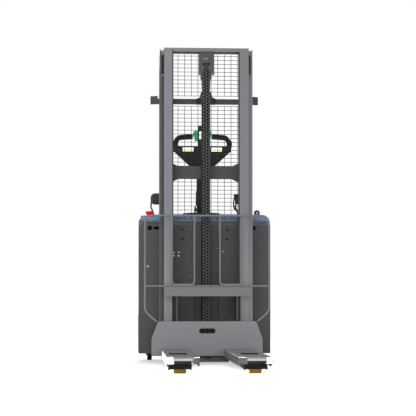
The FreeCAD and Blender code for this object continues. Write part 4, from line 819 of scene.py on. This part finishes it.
def makeBolts():
    clampBolts = []
    for place in boltSettings["clamp"]:
        clampBolts += boltHead(place, "y", boltSettings["clamp size"])
    makePiece("clampBolts", clampBolts, "rubberAndShadeBlack", "truck", bevel=0.0008)
    makeCaseFixings()
    makeLegFixings()
    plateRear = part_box("carriage_plate")[1].y
    heads = []
    for side in (-1, 1):
        for z in boltSettings["plate bolt z"]:
            heads += boltHead((side * boltSettings["plate bolt x"], plateRear, z), "y",
                              boltSettings["plate bolt size"], 1)
    makePiece("carriageBolts", heads, "turnedSteel", "carriage")
    # The tab in the darkened grey: painted shade
    makePiece("guardTab", onGuard(*boltSettings["guard tab"]), "powderCoatShadedGrey", "inner_mast",
              bevel=0.001)
    # A black patch at the tab's right end: its painted shadow
    makePiece("guardTabShadow", onGuard(*boltSettings["tab shadow"]), "absBlackAndShade", "inner_mast",
              bevel=0.0006)


makeBolts()
print("stage: bolts")


# Seams, folds and dark strips on the body and the mast, with painted shade and painted light

trimSettings = {
    "hood corner x": (0.378, 0.4005), "hood corner y": (0.002, 0.030), "hood corner low": 0.906,
    "seam x": (-0.066, 0.080), "seam half width": 0.0014,
    "fold x": (-0.060, 0.084), "fold z": (0.20, 0.82),
    # Across, out of the sheet
    "fold": ((-0.004, 0.0), (-0.0015, -0.0016), (0.0015, -0.0016), (0.004, 0.0)),
    # Behind the case front, below the case top
    "band": ((0.004, 0.0150), (-0.0010, 0.0135), (-0.0010, 0.0020), (0.0010, 0.0004), (0.004, 0.0004)),
    "band inset": 0.012,
    "shade strip width": 0.0062, "shade strip depth": 0.009, "shade strip foot": 0.02,
    "gap shade x": (0.1905, 0.2045), "gap shade y": (0.1876, 0.1898), "gap shade z": (0.268, 0.4185),
    "slot z": (1.7955, 1.9115),
    # From and to, sideways, then front and rear of the black sheets in the mast slots that paint their shade
    "slot shade": (((0.2515, 0.2725), (0.2856, 0.2910)), ((0.2592, 0.2725), (0.2600, 0.2616)),
                   ((0.2520, 0.2765), (0.2836, 0.2850))),
    # Beside the mast's outer edge, before its front
    "left strip": ((0.0015, 0.0), (0.0015, 0.0028), (0.004, 0.0042), (0.021, 0.0042), (0.0235, 0.0028),
                   (0.0235, 0.0)),
    "left strip z": (0.105, 1.782), "left strip top": 1.936, "left strip top x": (0.0012, 0.0110),
    "left strip heads": (0.25, 0.62, 0.99, 1.36, 1.70), "left strip head x": 0.0125, "left strip head size": 0.006,
    "beam slot x": (-0.028, 0.030), "beam slot below": (0.012, 0.004),
}
mastFront = 0.285        # of the outer mast's flanges


def makeHoodCorners():
    hoodLow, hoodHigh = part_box("drive_hood")
    near, far = trimSettings["hood corner x"]
    depths = [hoodLow.y + inset for inset in trimSettings["hood corner y"]]
    corners = boxPair(near, far, depths, (trimSettings["hood corner low"], hoodHigh.z - 0.0006))
    # Blocks that fill the hood's end chamfers, in the darkened blue: painted shade
    makePiece("hoodCorners", corners, "absBlueShaded", "truck", bevel=0.002)


def makeRailShadeStrips():
    width = trimSettings["shade strip width"]
    for name, side in (("left", -1), ("right", 1)):
        low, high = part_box(f"inner_mast_{name}")
        edge = high.x if side < 0 else low.x
        front = low.y - 0.0007 if side < 0 else low.y + 0.001
        # A black strip along each inner flange's inner edge: painted shade of the gap there
        shadeStrip = [box((edge - width, front, low.z + trimSettings["shade strip foot"]),
                    (edge + 0.0003, front + trimSettings["shade strip depth"], high.z - 0.002))]
        makePiece(f"railShadeStrip.{name}", shadeStrip, "rubberAndShadeBlack", "inner_mast")


def makeCaseTrim():
    lidLow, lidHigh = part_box("battery_lid")
    caseLow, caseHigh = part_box("battery_case")
    half = trimSettings["seam half width"]
    seams = [box((x - half, lidLow.y - 0.0006, lidLow.z + 0.001),
                 (x + half, lidLow.y + 0.002, lidHigh.z - 0.006)) for x in trimSettings["seam x"]]
    makePiece("lidSeams", seams, "absBlackAndShade", "truck")
    folds = [extrude([(x + across, caseLow.y + out) for across, out in trimSettings["fold"]],
                     *trimSettings["fold z"], "z") for x in trimSettings["fold x"]]
    makePiece("caseFolds", folds, "powderCoatDarkGrey", "truck")
    outline = [(caseLow.y + behind, caseHigh.z - below) for behind, below in trimSettings["band"]]
    inset = trimSettings["band inset"]
    # A lighter band under the case top: painted light
    makePiece("caseTopBand", [extrude(outline, caseLow.x + inset, caseHigh.x - inset, "x")],
              "powderCoatLitGrey", "truck")


def makeMastTrim():
    # Black strips in the gaps beside the carriage side plates: painted shade
    gapShade = boxPair(*trimSettings["gap shade x"], trimSettings["gap shade y"], trimSettings["gap shade z"])
    makePiece("sideGapShade", gapShade, "rubberAndShadeBlack", "carriage", bevel=0.0004)
    # Black sheets in the mast slots: painted shade
    plugsAndShade = []
    for places, depths in trimSettings["slot shade"]:
        plugsAndShade += boxPair(*places, depths, trimSettings["slot z"])
    makePiece("slotShade", plugsAndShade, "rubberAndShadeBlack", "truck", bevel=0.0004)
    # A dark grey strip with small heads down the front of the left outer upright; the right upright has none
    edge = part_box("outer_mast_left")[0].x
    low, high = trimSettings["left strip z"]
    outline = [(edge + beside, mastFront - before) for beside, before in trimSettings["left strip"]]
    near, far = trimSettings["left strip top x"]
    darkStrip = [extrude(outline, low, high, "z"), box((edge + near, mastFront - 0.0030, high),
                                                   (edge + far, mastFront, trimSettings["left strip top"]))]
    for z in trimSettings["left strip heads"]:
        darkStrip += boltHead((edge + trimSettings["left strip head x"], mastFront - 0.0042, z), "y",
                          trimSettings["left strip head size"])
    makePiece("leftUprightDarkStrip", darkStrip, "powderCoatDarkGrey", "truck", bevel=0.0006)
    low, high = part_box("floor_beam")
    left, right = trimSettings["beam slot x"]
    deep, shallow = trimSettings["beam slot below"]
    # A black patch on the beam's front: painted shade of its slot
    slot = [box((left, low.y - 0.0012, high.z - deep), (right, low.y + 0.002, high.z - shallow))]
    makePiece("beamSlotShade", slot, "absBlackAndShade", "truck")


makeHoodCorners()
makeRailShadeStrips()
makeCaseTrim()
makeMastTrim()
print("stage: trim of body and mast")


# Forks: the opening in each deck lined black as painted shade, a painted highlight on the edges and lip at
# the tip, weld bead at the heel

forkSettings = {
    "middle": 0.203, "deck top": 0.0938,
    "recess half width": 0.0545, "recess y": (-0.572, -0.374), "recess z": (0.0866, 0.0889),
    "step half width": 0.0524, "step y": (-0.3795, -0.3782), "step z": (0.0866, 0.0946),
    "tip cut": 0.035, "tip cut length": 0.062, "edge radius": 0.0019,
    # Behind the tip, height
    "lip": ((0.0012, 0.0770), (0.0002, 0.0800), (0.0002, 0.0915), (0.0050, 0.0915), (0.0050, 0.0770)),
    "lip inset": 0.0345, "bead": 0.004,
}


def makeForkTrim():
    cut = forkSettings["tip cut"]
    welds = []
    paintedHighlight = []
    lips = []
    for name in ("left", "right"):
        low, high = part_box(f"fork_{name}")
        welds.append(tube([(x, high.y - 0.001, high.z + 0.0005) for x in (low.x, high.x)],
                          forkSettings["bead"], 10))
        cutEnd = low.y + forkSettings["tip cut length"]
        top = forkSettings["deck top"]
        tip = low.y + 0.0017
        paintedHighlight.append(tube([(low.x + 0.0016, cutEnd, top), (low.x + cut, tip, top), (high.x - cut, tip, top),
                          (high.x - 0.0016, cutEnd, top)], forkSettings["edge radius"], 10))
        outline = [(low.y + behind, z) for behind, z in forkSettings["lip"]]
        inset = forkSettings["lip inset"]
        lips.append(extrude(outline, low.x + inset, high.x - inset, "x"))
    recess = []
    for part in ("recess", "step"):
        half = forkSettings[f"{part} half width"]
        recess += boxPair(forkSettings["middle"] - half, forkSettings["middle"] + half,
                          forkSettings[f"{part} y"], forkSettings[f"{part} z"])
    # Black lining of the deck openings: painted shade
    makePiece("deckRecess", recess, "paintedShadeBlack", "carriage")
    # A near-white tube along each deck's front edge: painted highlight
    makePiece("forkEdgeHighlight", paintedHighlight, "zincAndPaintedHighlight", "carriage")
    # A light band on the front of each tip: painted highlight
    makePiece("forkLips", lips, "paintedHighlightSteel", "carriage", bevel=0.0004)
    makePiece("forkWelds", welds, "powderCoatLightGrey", "carriage")


makeForkTrim()
print("stage: forks")


# Camera, floor and light

cameraSettings = {
    "place": (-0.504, -8.258, 0.412),        # metres, worked out from the spread and width of the forks
    "lens": 119.7, "sensor": 36,             # millimetres
    "yaw": 3.45,                             # degrees to the right
    "pitch": 1.12,                           # degrees up
    "shiftUp": 0.15,
    "farEnd": 60,
}
floorSettings = {"reach": 30, "tone": 0.9, "glow": 0.55}
lightSettings = {
    "world": 0.52,
    # Name, place, point aimed at, width, height, beam in degrees, power in watts
    "lamps": (("keyLight", (-2.0, -7.0, 3.4), (0, 0, 0.9), 4.0, 4.0, 180, 185),
              ("fillLight", (0.9, -7.5, 0.5), (0, 0, 0.5), 3.0, 0.8, 180, 52),
              ("leftForkLight", (-3.0, 0.34, 0.10), (-0.28, -0.46, 0.04), 0.3, 0.12, 24, 18),
              ("rightForkLight", (3.0, 0.1, 0.10), (0.28, -0.70, 0.05), 0.3, 0.12, 16, 4),
              ("backLight", (0, 5.0, 4.0), (0, 0, 0.9), 3.0, 3.0, 180, 60)),
}


def makeCamera(settings):
    data = bpy.data.cameras.new("Camera")
    camera = bpy.data.objects.new("Camera", data)
    bpy.context.scene.collection.objects.link(camera)
    camera.location = settings["place"]
    camera.rotation_euler = (math.radians(90 + settings["pitch"]), 0, -math.radians(settings["yaw"]))
    data.lens = settings["lens"]
    data.sensor_width = settings["sensor"]
    data.shift_y = settings["shiftUp"]
    data.clip_end = settings["farEnd"]
    bpy.context.scene.camera = camera


def seenRays(tree):
    path = addNode(tree, "ShaderNodeLightPath")
    total = addNode(tree, "ShaderNodeMath", {"operation": "ADD", "use_clamp": True})
    tree.links.new(path.outputs["Is Camera Ray"], total.inputs[0])
    tree.links.new(path.outputs["Is Transmission Ray"], total.inputs[1])
    return total.outputs[0]


def makeFloor(settings):
    material, tree, shader = newMaterial("studioFloor")
    tree.nodes.remove(shader)
    tone = settings["tone"]
    diffuse = addNode(tree, "ShaderNodeBsdfDiffuse", {"Color": (tone, tone, tone, 1)})
    strength = addNode(tree, "ShaderNodeMath", {"operation": "MULTIPLY"})
    tree.links.new(seenRays(tree), strength.inputs[0])
    strength.inputs[1].default_value = settings["glow"]
    glow = addNode(tree, "ShaderNodeEmission", {"Color": (1, 1, 1, 1)}, Strength=strength.outputs[0])
    both = addNode(tree, "ShaderNodeAddShader")
    tree.links.new(diffuse.outputs[0], both.inputs[0])
    tree.links.new(glow.outputs[0], both.inputs[1])
    tree.links.new(both.outputs[0], tree.nodes["Material Output"].inputs[0])
    reach = settings["reach"]
    mesh = bpy.data.meshes.new("floor")
    mesh.from_pydata([(-reach, -reach, 0), (reach, -reach, 0), (reach, reach, 0), (-reach, reach, 0)], [],
                     [(0, 1, 2, 3)])
    mesh.materials.append(material)
    floor = bpy.data.objects.new("floor", mesh)
    bpy.context.scene.collection.objects.link(floor)


def makeLight(settings):
    world = bpy.data.worlds.new("studio")
    bpy.context.scene.world = world
    world.use_nodes = True
    tree = world.node_tree
    background = tree.nodes["Background"]
    background.inputs["Color"].default_value = (1, 1, 1, 1)
    background.inputs["Strength"].default_value = settings["world"]
    white = addNode(tree, "ShaderNodeBackground", {"Color": (1, 1, 1, 1), "Strength": 1.0})
    mix = addNode(tree, "ShaderNodeMixShader")
    tree.links.new(seenRays(tree), mix.inputs[0])
    tree.links.new(background.outputs[0], mix.inputs[1])
    tree.links.new(white.outputs[0], mix.inputs[2])
    tree.links.new(mix.outputs[0], tree.nodes["World Output"].inputs[0])
    for name, place, target, width, height, beam, power in settings["lamps"]:
        data = bpy.data.lights.new(name, "AREA")
        data.shape = "RECTANGLE"
        data.size = width
        data.size_y = height
        data.spread = math.radians(beam)
        data.energy = power
        lamp = bpy.data.objects.new(name, data)
        lamp.location = place
        direction = Vector(target) - Vector(place)
        lamp.rotation_euler = direction.to_track_quat("-Z", "Y").to_euler()
        bpy.context.scene.collection.objects.link(lamp)


makeCamera(cameraSettings)
makeFloor(floorSettings)
makeLight(lightSettings)
bpy.context.scene.view_settings.view_transform = "Standard"
print("stage: camera, floor and light")
